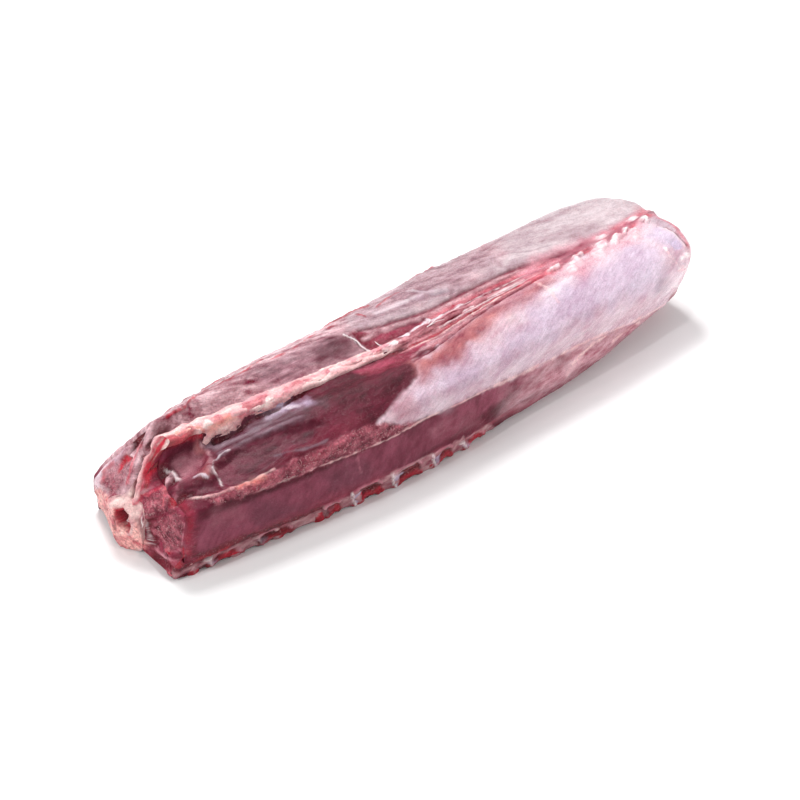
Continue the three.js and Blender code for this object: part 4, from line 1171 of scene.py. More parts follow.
def grid_faces(rows: int, columns: int, closed: bool, first: int) -> np.ndarray:
    """The four-sided faces of a grid of points.

    A face looks out where a step along the rows, crossed with a step along the columns, points out.

    Args:
        rows: How many rows of points.
        columns: How many points in a row.
        closed: Whether each row's last point joins its first.
        first: The number of the grid's first point.

    Returns:
        Four point numbers for each face.
    """
    i, j = np.meshgrid(np.arange(rows - 1), np.arange(columns if closed else columns - 1), indexing="ij")
    k = (j + 1) % columns
    faces = np.stack([i * columns + j, (i + 1) * columns + j, (i + 1) * columns + k, i * columns + k], -1)
    return faces.reshape(-1, 4) + first


def grid_normals(points: np.ndarray, outward: int) -> np.ndarray:
    """Unit normals of a grid: the step along the rows crossed with the step along the columns.

    Args:
        points: Rows by columns by three.
        outward: 1 where that points out, -1 where it points in.

    Returns:
        A normal for each point.
    """
    normal = outward * np.cross(np.gradient(points, axis=0), np.gradient(points, axis=1))
    return normal / np.maximum(np.linalg.norm(normal, axis=-1, keepdims=True), TINY)


@dataclass
class Skin:
    """Grids of points with their tissues, gathered into one mesh."""

    points: list[np.ndarray] = field(default_factory=list)
    faces: list[list[int]] = field(default_factory=list)
    canvases: list[Canvas] = field(default_factory=list)

    def add(self, points: np.ndarray, canvas: Canvas, closed: bool = False, flip: bool = False) -> None:
        """Adds a grid.

        Args:
            points: Rows by columns by three.
            canvas: Its tissues.
            closed: Whether each row's last point joins its first.
            flip: Whether its faces are turned over.
        """
        first = sum(len(part) for part in self.points)
        faces = grid_faces(*points.shape[:2], closed, first)
        self.points.append(points.reshape(-1, 3))
        self.faces += (faces[:, ::-1] if flip else faces).tolist()
        self.canvases.append(canvas)

    def gathered(self, name: str) -> np.ndarray:
        """One kind of value of all the canvases, point by point."""
        return np.concatenate([getattr(canvas, name) for canvas in self.canvases])

    def piece(self, name: str, material: bpy.types.Material, replaces: tuple[str, ...],
              slot: str) -> bpy.types.Object:
        """Makes the object, smooth, inside the solids' box, and rides it on the saddle's body.

        Args:
            name: The piece's name.
            material: Its finish.
            replaces: The solids that it stands for.
            slot: The record's material slot; not used.

        Returns:
            The new object.
        """
        low, high = (np.array(corner) / MM for corner in CAD_BOX)
        points = np.clip(np.concatenate(self.points), low, high)
        mesh = bpy.data.meshes.new(name)
        mesh.from_pydata((points * MM).tolist(), [], self.faces)
        mesh.polygons.foreach_set("use_smooth", np.ones(len(self.faces), bool))
        mesh.materials.append(material)
        tint = np.column_stack([self.gathered("colour"), np.ones(len(points))])
        mesh.attributes.new("tint", "FLOAT_COLOR", "POINT").data.foreach_set("color", tint.ravel())
        for part in ("fibre", "grain", "matt"):
            mesh.attributes.new(part, "FLOAT", "POINT").data.foreach_set("value", self.gathered(part))
        corners = np.zeros(len(mesh.loops), int)
        mesh.loops.foreach_get("vertex_index", corners)
        places = self.gathered("places")
        mesh.uv_layers.new(name="fibres").data.foreach_set("uv", places[corners].ravel())
        mesh.update()
        piece = bpy.data.objects.new(name, mesh)
        bpy.context.scene.collection.objects.link(piece)
        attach(piece, BODY)
        if replaces:
            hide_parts(*replaces)
        LOG.info("%s: %d points, %d faces", name, len(points), len(self.faces))
        return piece


def add_node(tree: bpy.types.NodeTree, kind: str, inputs: dict, **settings: object) -> bpy.types.Node:
    """Adds a node with its settings, and sets or links its inputs.

    Args:
        tree: The material's node tree.
        kind: Blender's name for the node.
        inputs: Input name or number to a value, or to the output that feeds it.
        settings: The node's own settings.

    Returns:
        The node.
    """
    node = tree.nodes.new(kind)
    for name, value in settings.items():
        setattr(node, name, value)
    for name, value in inputs.items():
        if isinstance(value, bpy.types.NodeSocket):
            tree.links.new(value, node.inputs[name])
        else:
            node.inputs[name].default_value = value
    return node


MATH = "ShaderNodeMath"


@dataclass(frozen=True)
class Flesh:
    """Raw tissue: wet muscle, fat, membrane or bone, coloured by the piece's own attributes.

    Light goes a few millimetres into it and comes back red, and a thin film of juice gives it small
    sharp glints over a softer sheen. Widths, lengths, sizes and depths are in mm.
    """

    name: str
    fibre_width: float = 0.9
    fibre_length: float = 16.0
    grain_size: float = 1.6
    fine_size: float = 0.9
    # Pale flecks are partly painted glints; the bone's dark ones are marrow.
    fleck_size: float = 1.9
    fleck_colour: str = "#d9a0a4"
    fleck_share: float = 0.55
    fleck_range: tuple[float, float] = (0.56, 0.68)
    fleck_twist: float = 1.5
    middle: float = 0.5
    grain_middle: float = 0.45
    fibre_tone: float = 1.5
    grain_tone: float = 0.9
    fine_tone: float = 0.8
    fibre_depth: float = 0.2
    grain_depth: float = 0.7
    fine_depth: float = 0.3
    fine_matt: float = 0.25
    sheen: float = 0.13
    index: float = 1.38
    scatter: float = 0.1
    scatter_depth: float = 2.5
    scatter_reach: tuple[float, float, float] = (1.0, 0.3, 0.25)
    coat: float = 0.62
    coat_loss: float = 1.25
    coat_roughness: float = 0.06
    film_depth: float = 2.0

    def material(self) -> bpy.types.Material:
        """Builds the node material.

        Streaks along the fibres, grains and a fine tooth shade the tint and stand up in it, and flecks
        show where the tissue is grainy. Pale flecks are partly painted glints.

        Returns:
            The material, which reads four attributes and the UV map fibres.
        """
        material = bpy.data.materials.new(self.name)
        material.use_nodes = True
        tree = material.node_tree
        tree.nodes.clear()
        tint, fibre, grain, matt = (
            add_node(tree, "ShaderNodeAttribute", {}, attribute_name=name)
            for name in ("tint", "fibre", "grain", "matt")
        )
        uv = add_node(tree, "ShaderNodeUVMap", {}, uv_map="fibres")
        place = add_node(tree, "ShaderNodeTexCoord", {})
        lengthwise = add_node(tree, "ShaderNodeMapping", {
            "Vector": uv.outputs["UV"], "Scale": (1 / self.fibre_length, 1 / self.fibre_width, 1)})
        streaks = add_node(tree, "ShaderNodeTexNoise", {
            "Vector": lengthwise.outputs["Vector"], "Scale": 1.0, "Detail": 4.0, "Roughness": 0.65})
        grains = add_node(tree, "ShaderNodeTexVoronoi", {
            "Vector": place.outputs["Object"], "Scale": 1 / (self.grain_size * MM), "Randomness": 1.0})
        fine = add_node(tree, "ShaderNodeTexNoise", {
            "Vector": place.outputs["Object"], "Scale": 1 / (self.fine_size * MM), "Detail": 3.0,
            "Roughness": 0.65})
        flecks = add_node(tree, "ShaderNodeTexNoise", {
            "Vector": place.outputs["Object"], "Scale": 1 / (self.fleck_size * MM), "Detail": 2.0,
            "Roughness": 0.5, "Distortion": self.fleck_twist})
        streak = add_node(tree, MATH, {0: streaks.outputs["Fac"], 1: self.middle}, operation="SUBTRACT")
        streak = add_node(tree, MATH, {0: streak.outputs[0], 1: fibre.outputs["Fac"]}, operation="MULTIPLY")
        lump = add_node(tree, MATH, {0: self.grain_middle, 1: grains.outputs["Distance"]},
                        operation="SUBTRACT")
        lump = add_node(tree, MATH, {0: lump.outputs[0], 1: grain.outputs["Fac"]}, operation="MULTIPLY")
        tooth = add_node(tree, MATH, {0: fine.outputs["Fac"], 1: self.middle}, operation="SUBTRACT")
        tone = add_node(tree, MATH, {0: tooth.outputs[0], 1: self.fine_tone, 2: 1.0},
                        operation="MULTIPLY_ADD")
        for part, weight in ((lump, self.grain_tone), (streak, self.fibre_tone)):
            tone = add_node(tree, MATH, {0: part.outputs[0], 1: weight, 2: tone.outputs[0]},
                            operation="MULTIPLY_ADD")
        height = add_node(tree, MATH, {0: tooth.outputs[0], 1: self.fine_depth}, operation="MULTIPLY")
        for part, weight in ((lump, self.grain_depth), (streak, self.fibre_depth)):
            height = add_node(tree, MATH, {0: part.outputs[0], 1: weight, 2: height.outputs[0]},
                              operation="MULTIPLY_ADD")
        fleck = add_node(tree, "ShaderNodeMapRange", {
            "Value": flecks.outputs["Fac"], "From Min": self.fleck_range[0], "From Max": self.fleck_range[1],
            "To Max": self.fleck_share}, interpolation_type="SMOOTHSTEP")
        ground = add_node(tree, "ShaderNodeVectorMath", {0: tint.outputs["Color"], "Scale": tone.outputs[0]},
                          operation="SCALE")
        fleck = add_node(tree, MATH, {0: fleck.outputs["Result"], 1: grain.outputs["Fac"]},
                         operation="MULTIPLY")
        colour = add_node(tree, "ShaderNodeMix", {
            0: fleck.outputs[0], 6: ground.outputs[0], 7: (*linear(self.fleck_colour), 1)}, data_type="RGBA")
        bump, film = (
            add_node(tree, "ShaderNodeBump", {
                "Height": height.outputs[0], "Distance": MM * depth, "Strength": 1.0})
            for depth in (1.0, self.film_depth)
        )
        roughness = add_node(tree, MATH, {0: tooth.outputs[0], 1: self.fine_matt, 2: matt.outputs["Fac"]},
                             operation="MULTIPLY_ADD")
        coat = add_node(tree, MATH, {0: matt.outputs["Fac"], 1: -self.coat_loss, 2: self.coat},
                        operation="MULTIPLY_ADD")
        flesh = add_node(tree, "ShaderNodeBsdfPrincipled", {
            "Base Color": colour.outputs[2], "Roughness": roughness.outputs[0], "IOR": self.index,
            "Specular IOR Level": self.sheen, "Normal": bump.outputs["Normal"],
            "Subsurface Weight": self.scatter, "Subsurface Radius": self.scatter_reach,
            "Subsurface Scale": self.scatter_depth * MM, "Coat Weight": coat.outputs[0],
            "Coat Roughness": self.coat_roughness, "Coat Normal": film.outputs["Normal"]})
        add_node(tree, "ShaderNodeOutputMaterial", {"Surface": flesh.outputs["BSDF"]})
        return material


# Raw muscle under its films. Its fibres give the eye fine lengthwise streaks, its torn parts grains and
# pale flecks, partly of fat and partly painted glints, and its juice glints.
VENISON = Flesh("raw_venison")
# Fresh sawn bone. Marrow gives the eye dark red flecks between shallow grains, and less light goes in
# than into meat, so it looks hard.
FRESH_BONE = Flesh("fresh_bone", grain_depth=0.4, fleck_colour="#8c3340", scatter=0.06)
# Soft fat and cartilage along the ridge. More light goes in, which gives a waxy glow, and it is smoother.
RIDGE_FAT = Flesh("fat_and_cartilage", fine_depth=0.25, scatter=0.2)
# Wet sinew: smooth, and clear enough for light to shine through its threads.
WET_SINEW = Flesh("wet_sinew", grain_depth=0.2, scatter=0.2)


@dataclass
class LoinHalf:
    """One loin with its flank and its side of the chest wall: a skin from the ridge round to the keel."""

    side: Side
    marks: tuple[Mark, ...]
    feet: tuple[RibFoot, ...]
    material: bpy.types.Material
    top_columns: int
    rows: int = 380
    under_columns: int = 24
    foot_columns: int = 3
    way_samples: int = 200
    rib_end_rings: int = 44
    lumbar_end_rings: int = 8
    end_centre_height: float = 27.0
    edge_stations: Values = (0, 0.4, 0.9, 1.6, 2.5, 3.5)
    edge_gap: float = 1.0
    edge_round: float = 3.2
    still_edge: float = 3.0
    seed: int = 11
    cut_seed: int = 21
    cut_relief: Pattern = Pattern(4.0, 31, 3, 0.4, by_grain=0.8)
    cut_edge_share: float = 0.06

    def stations(self) -> np.ndarray:
        """The rows' places: a few close to each end, for the cut's rounded edge, and the rest even."""
        close = np.array(self.edge_stations)
        start = close[-1] + self.edge_gap
        even = np.linspace(FORM.first_x + start, FORM.last_x - start, self.rows - 2 * len(close))
        return np.concatenate([FORM.first_x + close, even, FORM.last_x - close[::-1]])

    def top_places(self) -> np.ndarray:
        """The top columns' places on the section, an even way apart over the middle of the saddle."""
        places = np.linspace(0, FORM.edge_place, self.way_samples)
        ways = np.abs(FORM.reach(self.side, np.zeros(self.way_samples), places))
        return np.interp(np.linspace(0, ways[-1], self.top_columns), ways, places)

    def build(self) -> None:
        """Builds the skin with its tissues and its relief, and closes both ends."""
        x, u = self.stations()[:, None], self.top_places()
        top = FORM.outside(self.side, x, u)
        under = FORM.underside(self.side, x, np.linspace(0, FORM.underside_end, self.under_columns))
        share = np.arange(1, self.foot_columns + 1) / (self.foot_columns + 1)
        foot = [a[:, -1:] + (b[:, :1] - a[:, -1:]) * share for a, b in zip(top, under)]
        out, height = (np.concatenate(parts, axis=1) for parts in zip(top, foot, under))
        far = self.side.value * out
        points = FORM.place(x, far, height)
        way = np.concatenate([FORM.reach(self.side, x, u), far[:, len(u):]], axis=1)
        flat = spread(x, way)
        canvas = Canvas(flat[:, :len(u)], points[:, :len(u)], Tissue.MUSCLE, self.seed)
        canvas.lay_back(self.side, self.marks)
        for rib_foot in self.feet:
            canvas.lay_back(self.side, rib_foot.marks())
        canvas.join(Canvas(flat[:, len(u):], points[:, len(u):], Tissue.PLEURA, self.seed), self.rows)
        rise = canvas.relief().reshape(far.shape) * ease(np.abs(way), 0, self.still_edge)
        from_end = np.minimum(x - FORM.first_x, FORM.last_x - x)
        rounded = np.sqrt(np.clip(1 - (1 - np.clip(from_end / self.edge_round, 0, 1)) ** 2, 0, 1))
        rise -= self.edge_round * (1 - rounded)
        points = points + rise[..., None] * grid_normals(points, self.side.value)
        skin = Skin()
        skin.add(points, canvas, flip=self.side is Side.NEAR)
        self.close_end(skin, points[0], True)
        self.close_end(skin, points[-1], False)
        skin.piece(f"{self.side.name.lower()}_loin", self.material, ("saddle_meat",), "meat")

    def close_end(self, skin: Skin, rim: np.ndarray, at_ribs: bool) -> None:
        """Closes an end with rings that shrink from its rim towards a point on the spine.

        Args:
            skin: The mesh so far.
            rim: The skin's last row of points, after their relief.
            at_ribs: Whether it is the sawn rib end.
        """
        rings = self.rib_end_rings if at_ribs else self.lumbar_end_rings
        x = FORM.first_x if at_ribs else FORM.last_x
        edge = np.stack([rim[:, 1] - FORM.along(FORM.spine_y, x), rim[:, 2]], -1)
        centre = np.array([0, self.end_centre_height])
        share = np.linspace(1, 0, rings + 1)[:, None]
        flat = centre + (edge - centre) * share[..., None]
        solid = FORM.place(x, flat[..., 0], flat[..., 1])
        canvas = Canvas(flat, solid, Tissue.MUSCLE_RED, self.cut_seed)
        canvas.lay_end(RIB_END_MARKS if at_ribs else LUMBAR_END_MARKS)
        rise = canvas.rise + self.cut_relief.at(canvas.solid, canvas.grain)
        rise = rise.reshape(solid.shape[:2]) * ease(1 - share, 0, self.cut_edge_share)
        solid[..., 0] += -rise if at_ribs else np.minimum(rise, 0)
        solid[0] = rim
        skin.add(solid, canvas, flip=at_ribs == (self.side is Side.FAR))


# Half the width of the vertebrae with their wings. The ribs start just outside it.
WING_OUT = (15, 13, 12.5, 12.5, 13, 13.5, 13.5, 13)


@dataclass
class Backbone:
    """The row of vertebrae with their spinous processes, which ends at the ridge as one lumpy blade.

    Keel_edge and body_side are distances out and up from the keel, and wing_root in and down from the
    wing's tip.
    """

    material: bpy.types.Material
    rows: int = 280
    steps: int = 8
    face_columns: int = 72
    proud: float = 1.0
    keel_height: Values = (0.4, 0.6, 1, 1.5, 2, 2.5, 3, 4)
    keel_edge: tuple[float, float] = (6.5, 0.5)
    body_side: tuple[float, float] = (11.5, 5)
    wing_root: tuple[float, float] = (1.5, 7)
    wing_height: Values = (27, 22, 22, 22, 22, 22, 22, 22)
    arch: Places = ((10.5, 31), (4.5, 35), (2.2, 42))
    blade_half_width: float = 2.0
    blade_drop: float = 9.0
    tip_half_width: Values = (4.5, 4.5, 4.5, 4, 2.5, 1.8, 1.8, 1.8)
    tip_drops: tuple[float, float] = (5, 1.5)
    tip_proud: Values = (1, 1.2, 1.2, 0.9, 0.5, -3, -3.2, -3.2)
    tip_lump: float = 0.7
    tip_lump_pitch: float = 23.0
    waist: float = 1.1
    vertebra_lengths: tuple[float, float] = (24.0, 34.0)
    seed: int = 41
    relief: Pattern = Pattern(3.0, 42, 3, 0.25)
    still_middle: float = 1.0
    film_share: float = 0.75
    film_heights: tuple[float, float] = (8, 14)
    meat_heights: tuple[float, float] = (36, 40)
    ligament_from: tuple[float, float] = (-40, -20)
    blood_share: float = 0.85
    blood_until: tuple[float, float] = (-188, -172)
    blood_out: tuple[float, float] = (0, 2)
    face_seed: int = 43
    face_relief: Pattern = Pattern(2.5, 44, 3, 0.2, by_grain=0.5)
    face_edge_power: int = 8

    def profile(self, x: np.ndarray) -> np.ndarray:
        """One half of the section from the keel up to the tip of the blade.

        Args:
            x: Stations.

        Returns:
            Corner, then distance and height, then station.
        """
        share = (x - FORM.first_x) / (FORM.last_x - FORM.first_x)
        first, last = self.vertebra_lengths
        count = (x - FORM.first_x) / (first + (last - first) * share / 2)
        waist = self.waist * wave(count)
        keel = FORM.along(self.keel_height, x) + waist
        ridge = FORM.outside(Side.FAR, x, 0)[1]
        lump = self.tip_lump * np.cos(2 * np.pi * x / self.tip_lump_pitch)
        top = ridge + FORM.along(self.tip_proud, x) + lump
        tip, wing = FORM.along(self.tip_half_width, x), FORM.along(WING_OUT, x)
        wing_height = FORM.along(self.wing_height, x)
        low = [(0, keel), (self.keel_edge[0], keel + self.keel_edge[1]),
               (self.body_side[0] - waist, keel + self.body_side[1]),
               (wing - self.wing_root[0], wing_height - self.wing_root[1]), (wing, wing_height), *self.arch]
        high = [(self.blade_half_width, top - self.blade_drop),
                *((tip, top - drop) for drop in self.tip_drops), (0, top)]
        corners = [FORM.lumbar_end.drawn_in(out + 0 * x, height + 0 * x, x) for out, height in low]
        corners += [(out + 0 * x, height) for out, height in high]
        return np.array([np.stack(corner) for corner in corners])

    def build(self) -> None:
        """Builds both sides and both ends of the bone, with the canal sunk into its sawn face."""
        x = np.linspace(FORM.first_x, FORM.last_x, self.rows)
        corners = self.profile(x)
        u = np.linspace(0, len(corners) - 1, (len(corners) - 1) * self.steps + 1)
        out, height = curve_point(np.repeat(corners[..., None], len(u), -1), np.tile(u, (self.rows, 1)))
        skin = Skin()
        for side in Side:
            self.add_side(skin, side, x[:, None], side.value * out, height)
        self.add_face(skin, x[0], out[0], height[0], True)
        self.add_face(skin, x[-1], out[-1], height[-1], False)
        skin.piece("backbone_finish", self.material, ("backbone",), "bone")

    def add_side(self, skin: Skin, side: Side, x: np.ndarray, far: np.ndarray, height: np.ndarray) -> None:
        """Adds one side, with film, fat and ligament where the bone lies in meat.

        Args:
            skin: The mesh so far.
            side: Which side.
            x: The rows' stations.
            far: Each point's distance to the far side.
            height: Each point's height.
        """
        points = FORM.place(x, far, height)
        canvas = Canvas(spread(x, far), points, Tissue.LAMINA, self.seed)
        along, across = canvas.flat.T
        raised = canvas.solid[:, 2]
        in_meat = ease(raised, *self.meat_heights)
        behind = ease(along, *self.ligament_from)
        at_cut = 1 - ease(along, *self.blood_until)
        canvas.stain(Tissue.PLEURA, self.film_share * (1 - ease(raised, *self.film_heights)))
        canvas.stain(Tissue.LIGAMENT, in_meat * behind)
        canvas.stain(Tissue.FAT, in_meat * (1 - behind))
        canvas.stain(Tissue.BLOOD, self.blood_share * in_meat * at_cut * ease(-across, *self.blood_out))
        rise = self.relief.at(canvas.solid).reshape(far.shape) * ease(np.abs(far), 0, self.still_middle)
        points = points + rise[..., None] * grid_normals(points, -side.value)
        points[0, :, 0] -= self.proud
        skin.add(points, canvas, flip=side is Side.FAR)

    def add_face(self, skin: Skin, x: float, out: np.ndarray, height: np.ndarray, at_ribs: bool) -> None:
        """Adds an end's face. The sawn one stands proud and the other stays behind its rim.

        Args:
            skin: The mesh so far.
            x: The end's station.
            out: The rim's distances from the spine.
            height: The rim's heights.
            at_ribs: Whether it is the sawn rib end.
        """
        share = np.linspace(-1, 1, self.face_columns)
        flat = spread(out[:, None] * share, height[:, None])
        solid = FORM.place(x, flat[..., 0], flat[..., 1])
        canvas = Canvas(flat, solid, Tissue.LAMINA, self.face_seed)
        canvas.lay_end(RIB_END_MARKS if at_ribs else LUMBAR_END_MARKS)
        rise = canvas.rise + self.face_relief.at(canvas.solid, canvas.grain)
        rise = rise.reshape(flat.shape[:2]) * (1 - np.abs(share) ** self.face_edge_power)
        solid[..., 0] += -(rise + self.proud) if at_ribs else np.minimum(rise, 0)
        skin.add(solid, canvas, flip=at_ribs)


@dataclass
class Ribs:
    """The short sawn ribs, bent bars of oval section from beside the backbone to the trimmed foot.

    The arch's places are distances from the spine and heights, the shaft's how far inside the saddle's
    lower edge and heights.
    """

    material: bpy.types.Material
    count: int = 8
    width: float = 8.0
    thickness: float = 4.6
    slant: float = 1.0
    head_clear: float = 2.0
    head_height: float = 24.5
    arch: Places = ((23, 25.5), (31, 22.5))
    shaft: Places = ((5.8, 13.5), (3.7, 6), (3.5, 0))
    film_share: float = 0.95
    film_heights: tuple[float, float] = (9.0, 15.0)
    blood: Pattern = Pattern(5.0, 62)
    blood_range: tuple[float, float] = (-0.3, 0.2)
    flat_scale: tuple[float, float] = (10.0, 3.0)
    rings: int = 40
    sides: int = 20
    cap_rings: int = 5
    seed: int = 51
    cap_seed: int = 61

    def build(self) -> None:
        """Builds each rib as rings round its bent path, closed at both ends."""
        for side in Side:
            for index in range(self.count):
                self.rib(side, index)

    def rib(self, side: Side, index: int) -> None:
        """Builds one rib.

        Args:
            side: Its side.
            index: Its number from the rib end, from 0.
        """
        foot_x = FORM.rib_first_x + index * FORM.rib_pitch
        edge = float(FORM.along(FORM.lines(side).edge.out, foot_x))
        head = float(FORM.along(WING_OUT, foot_x)) + self.head_clear
        shaft = ((edge - inset, height) for inset, height in self.shaft)
        path = np.array([(head, self.head_height), *self.arch, *shaft])
        u = np.linspace(0, len(path) - 1, self.rings)
        middle = curve_point(np.repeat(path[..., None], self.rings, -1), u)
        tangent = np.gradient(middle, axis=1)
        tangent = (tangent / np.linalg.norm(tangent, axis=0))[:, :, None]
        angle = 2 * np.pi * np.arange(self.sides) / self.sides
        wide, thick = self.width / 2 * np.cos(angle), self.thickness / 2 * np.sin(angle)
        x = (foot_x - self.slant * index * (1 - np.linspace(0, 1, self.rings)))[:, None] + 0 * angle
        out = middle[0][:, None] - tangent[1] * thick
        height = middle[1][:, None] + tangent[0] * thick
        height[-1] = 0
        spine = FORM.along(FORM.spine_y, x)
        points = np.stack([x + wide, spine + side.value * out, np.maximum(height, 0)], -1)
        flat = spread(self.flat_scale[0] * u[:, None], self.flat_scale[1] * angle)
        canvas = Canvas(flat, points, Tissue.LAMINA, self.seed + index)
        low = self.film_share * (1 - ease(canvas.solid[:, 2], *self.film_heights))
        canvas.stain(Tissue.RIB_FILM, low)
        canvas.stain(Tissue.BLOOD, low * ease(self.blood.at(canvas.solid), *self.blood_range))
        skin = Skin()
        near = side is Side.NEAR
        skin.add(points, canvas, closed=True, flip=near)
        share = np.linspace(1, 0, self.cap_rings)[:, None, None]
        for ring, flip in ((points[0], not near), (points[-1], near)):
            cap = ring.mean(0) + (ring - ring.mean(0)) * share
            skin.add(cap, Canvas(cap[..., :2], cap, Tissue.BONE, self.cap_seed), closed=True, flip=flip)
        name = f"rib_{side.name.lower()}_{index + 1}"
        skin.piece(f"{name}_finish", self.material, (name,), "bone")


@dataclass
class RidgeFat:
    """The lumpy strip of fat, ligament and cartilage along the ridge over the ribs."""

    material: bpy.types.Material
    rows: int = 330
    columns: int = 44
    first_x: float = -204.0
    last_x: float = -8.0
    end_lengths: tuple[float, float] = (6.0, 16.0)
    crown: float = 2.4
    crown_power: int = 4
    crown_root: float = 0.7
    front_share: float = 0.65
    full_reach: tuple[float, float] = (-190, -110)
    sunk: float = 0.8
    wobble: Pattern = Pattern((9, 5, 5), 72, 4, 0.3)
    lumps: Pattern = Pattern((8, 4, 4), 73, 3, 0.8)
    small_lumps: Pattern = Pattern(2.0, 74, 2, 0.35)
    seed: int = 75
    mottle: Pattern = Pattern((9, 4, 4), 76, 3)
    mottle_range: tuple[float, float] = (-0.2, 0.6)
    mottle_share: float = 0.55
    rim_range: tuple[float, float] = (0.72, 0.98)
    rim_share: float = 0.3
    near_edge: Places = ((-205, 1.31), (-175, 1.39), (-167, 1.9), (-157, 1.79), (-144, 1.96), (-130, 1.6),
                         (-113, 1.7), (-97, 1.4), (-89, 1.14), (-79, 1.06), (-70, 0.74), (-60, 0.76),
                         (-49, 0.92), (-36, 1.1), (-20, 1.1), (-8, 0.6))
    far_edge: Places = ((-205, 0.6), (-160, 0.7), (-139, 0.9), (-130, 1.6), (-121, 2.1), (-101, 2.04),
                        (-89, 1.94), (-72, 1.9), (-57, 1.6), (-44, 1.1), (-32, 0.8), (-8, 0.4))
    red: tuple[Places, ...] = (
        ((-136, 1.0), (-128, 0.6), (-119, 0.2)), ((-104, 0.3), (-95, 0.2), (-86, 0.4)),
        ((-154, 0.5), (-148, 0.3)), ((-74, 0.2), (-66, 0.4)), ((-40, 0.2), (-32, 0.3)),
        ((-200, 0.9), (-186, 1.2), (-174, 1.4)),
    )

    def marks(self) -> tuple[Mark, ...]:
        """The streaks in the strip: orange and peach fat, red spots, cream fat and a wet shred."""
        return (
            Mark(Tissue.FAT_ORANGE, 5, 2, 1, 0, 1, ((-198, 0.5), (-182, 1), (-168, 1.25))),
            Mark(Tissue.FAT_ORANGE, 5, 3, 1.5, 0, 0.8, ((-160, 1.2), (-146, 1.1), (-137, 0.9))),
            *(Mark(Tissue.FAT_RED, 4, 2, 3, 0, 0.8, red) for red in self.red),
            Mark(Tissue.FAT, 5, 1.5, 1, 0, 1, ((-118, 1.2), (-103, 1.5))),
            Mark(Tissue.WET_FAT_AND_GLINT, 5, 2, 3, 0.8, 0.8, ((-32, 0.3), (-22, 0.2), (-10, 0.2))),
        )

    def build(self) -> None:
        """Builds the strip: it stands proud along its middle and dips under the skin at both edges."""
        x = np.linspace(self.first_x, self.last_x, self.rows)[:, None]
        share = np.linspace(-1, 1, self.columns)
        near, far = (np.interp(x, *np.array(edge).T) for edge in (self.near_edge, self.far_edge))
        u = np.where(share < 0, near, far) * np.abs(share)
        near_point, far_point = (FORM.skin_point(side, x, u) for side in Side)
        points = np.where((share < 0)[:, None], near_point, far_point)
        way = np.where(share < 0, *(FORM.reach(side, x, u) for side in Side))
        from_middle = np.clip(np.abs(share) + self.wobble.at(points), 0, 1)
        height = (1 - from_middle ** self.crown_power) ** self.crown_root
        lumps = self.lumps.at(points) + self.small_lumps.at(points)
        first_length, last_length = self.end_lengths
        end = (ease(x, self.first_x, self.first_x + first_length)
               * (1 - ease(x, self.last_x - last_length, self.last_x)))
        thick = self.front_share + (1 - self.front_share) * ease(x, *self.full_reach)
        rise = (self.crown + lumps) * thick * height * end - self.sunk
        points = points + rise[..., None] * grid_normals(points, 1)
        canvas = Canvas(spread(x, way), points, Tissue.FAT, self.seed)
        canvas.lay_back(Side.NEAR, self.marks())
        mottle = ease(self.mottle.at(canvas.solid), *self.mottle_range)
        canvas.stain(Tissue.FAT_PINK, self.mottle_share * mottle)
        rim = ease(np.abs(share), *self.rim_range) * np.ones_like(way)
        canvas.stain(Tissue.BLOOD, self.rim_share * rim.ravel())
        skin = Skin()
        skin.add(points, canvas)
        skin.piece("ridge_fat", self.material, (), "meat")


@dataclass(frozen=True)
class Thread:
    """A torn thread of sinew: its places, how far it lifts off the flesh, and its thickness."""

    side: Side
    places: Places
    lifts: Values
    thickness: float = 0.9


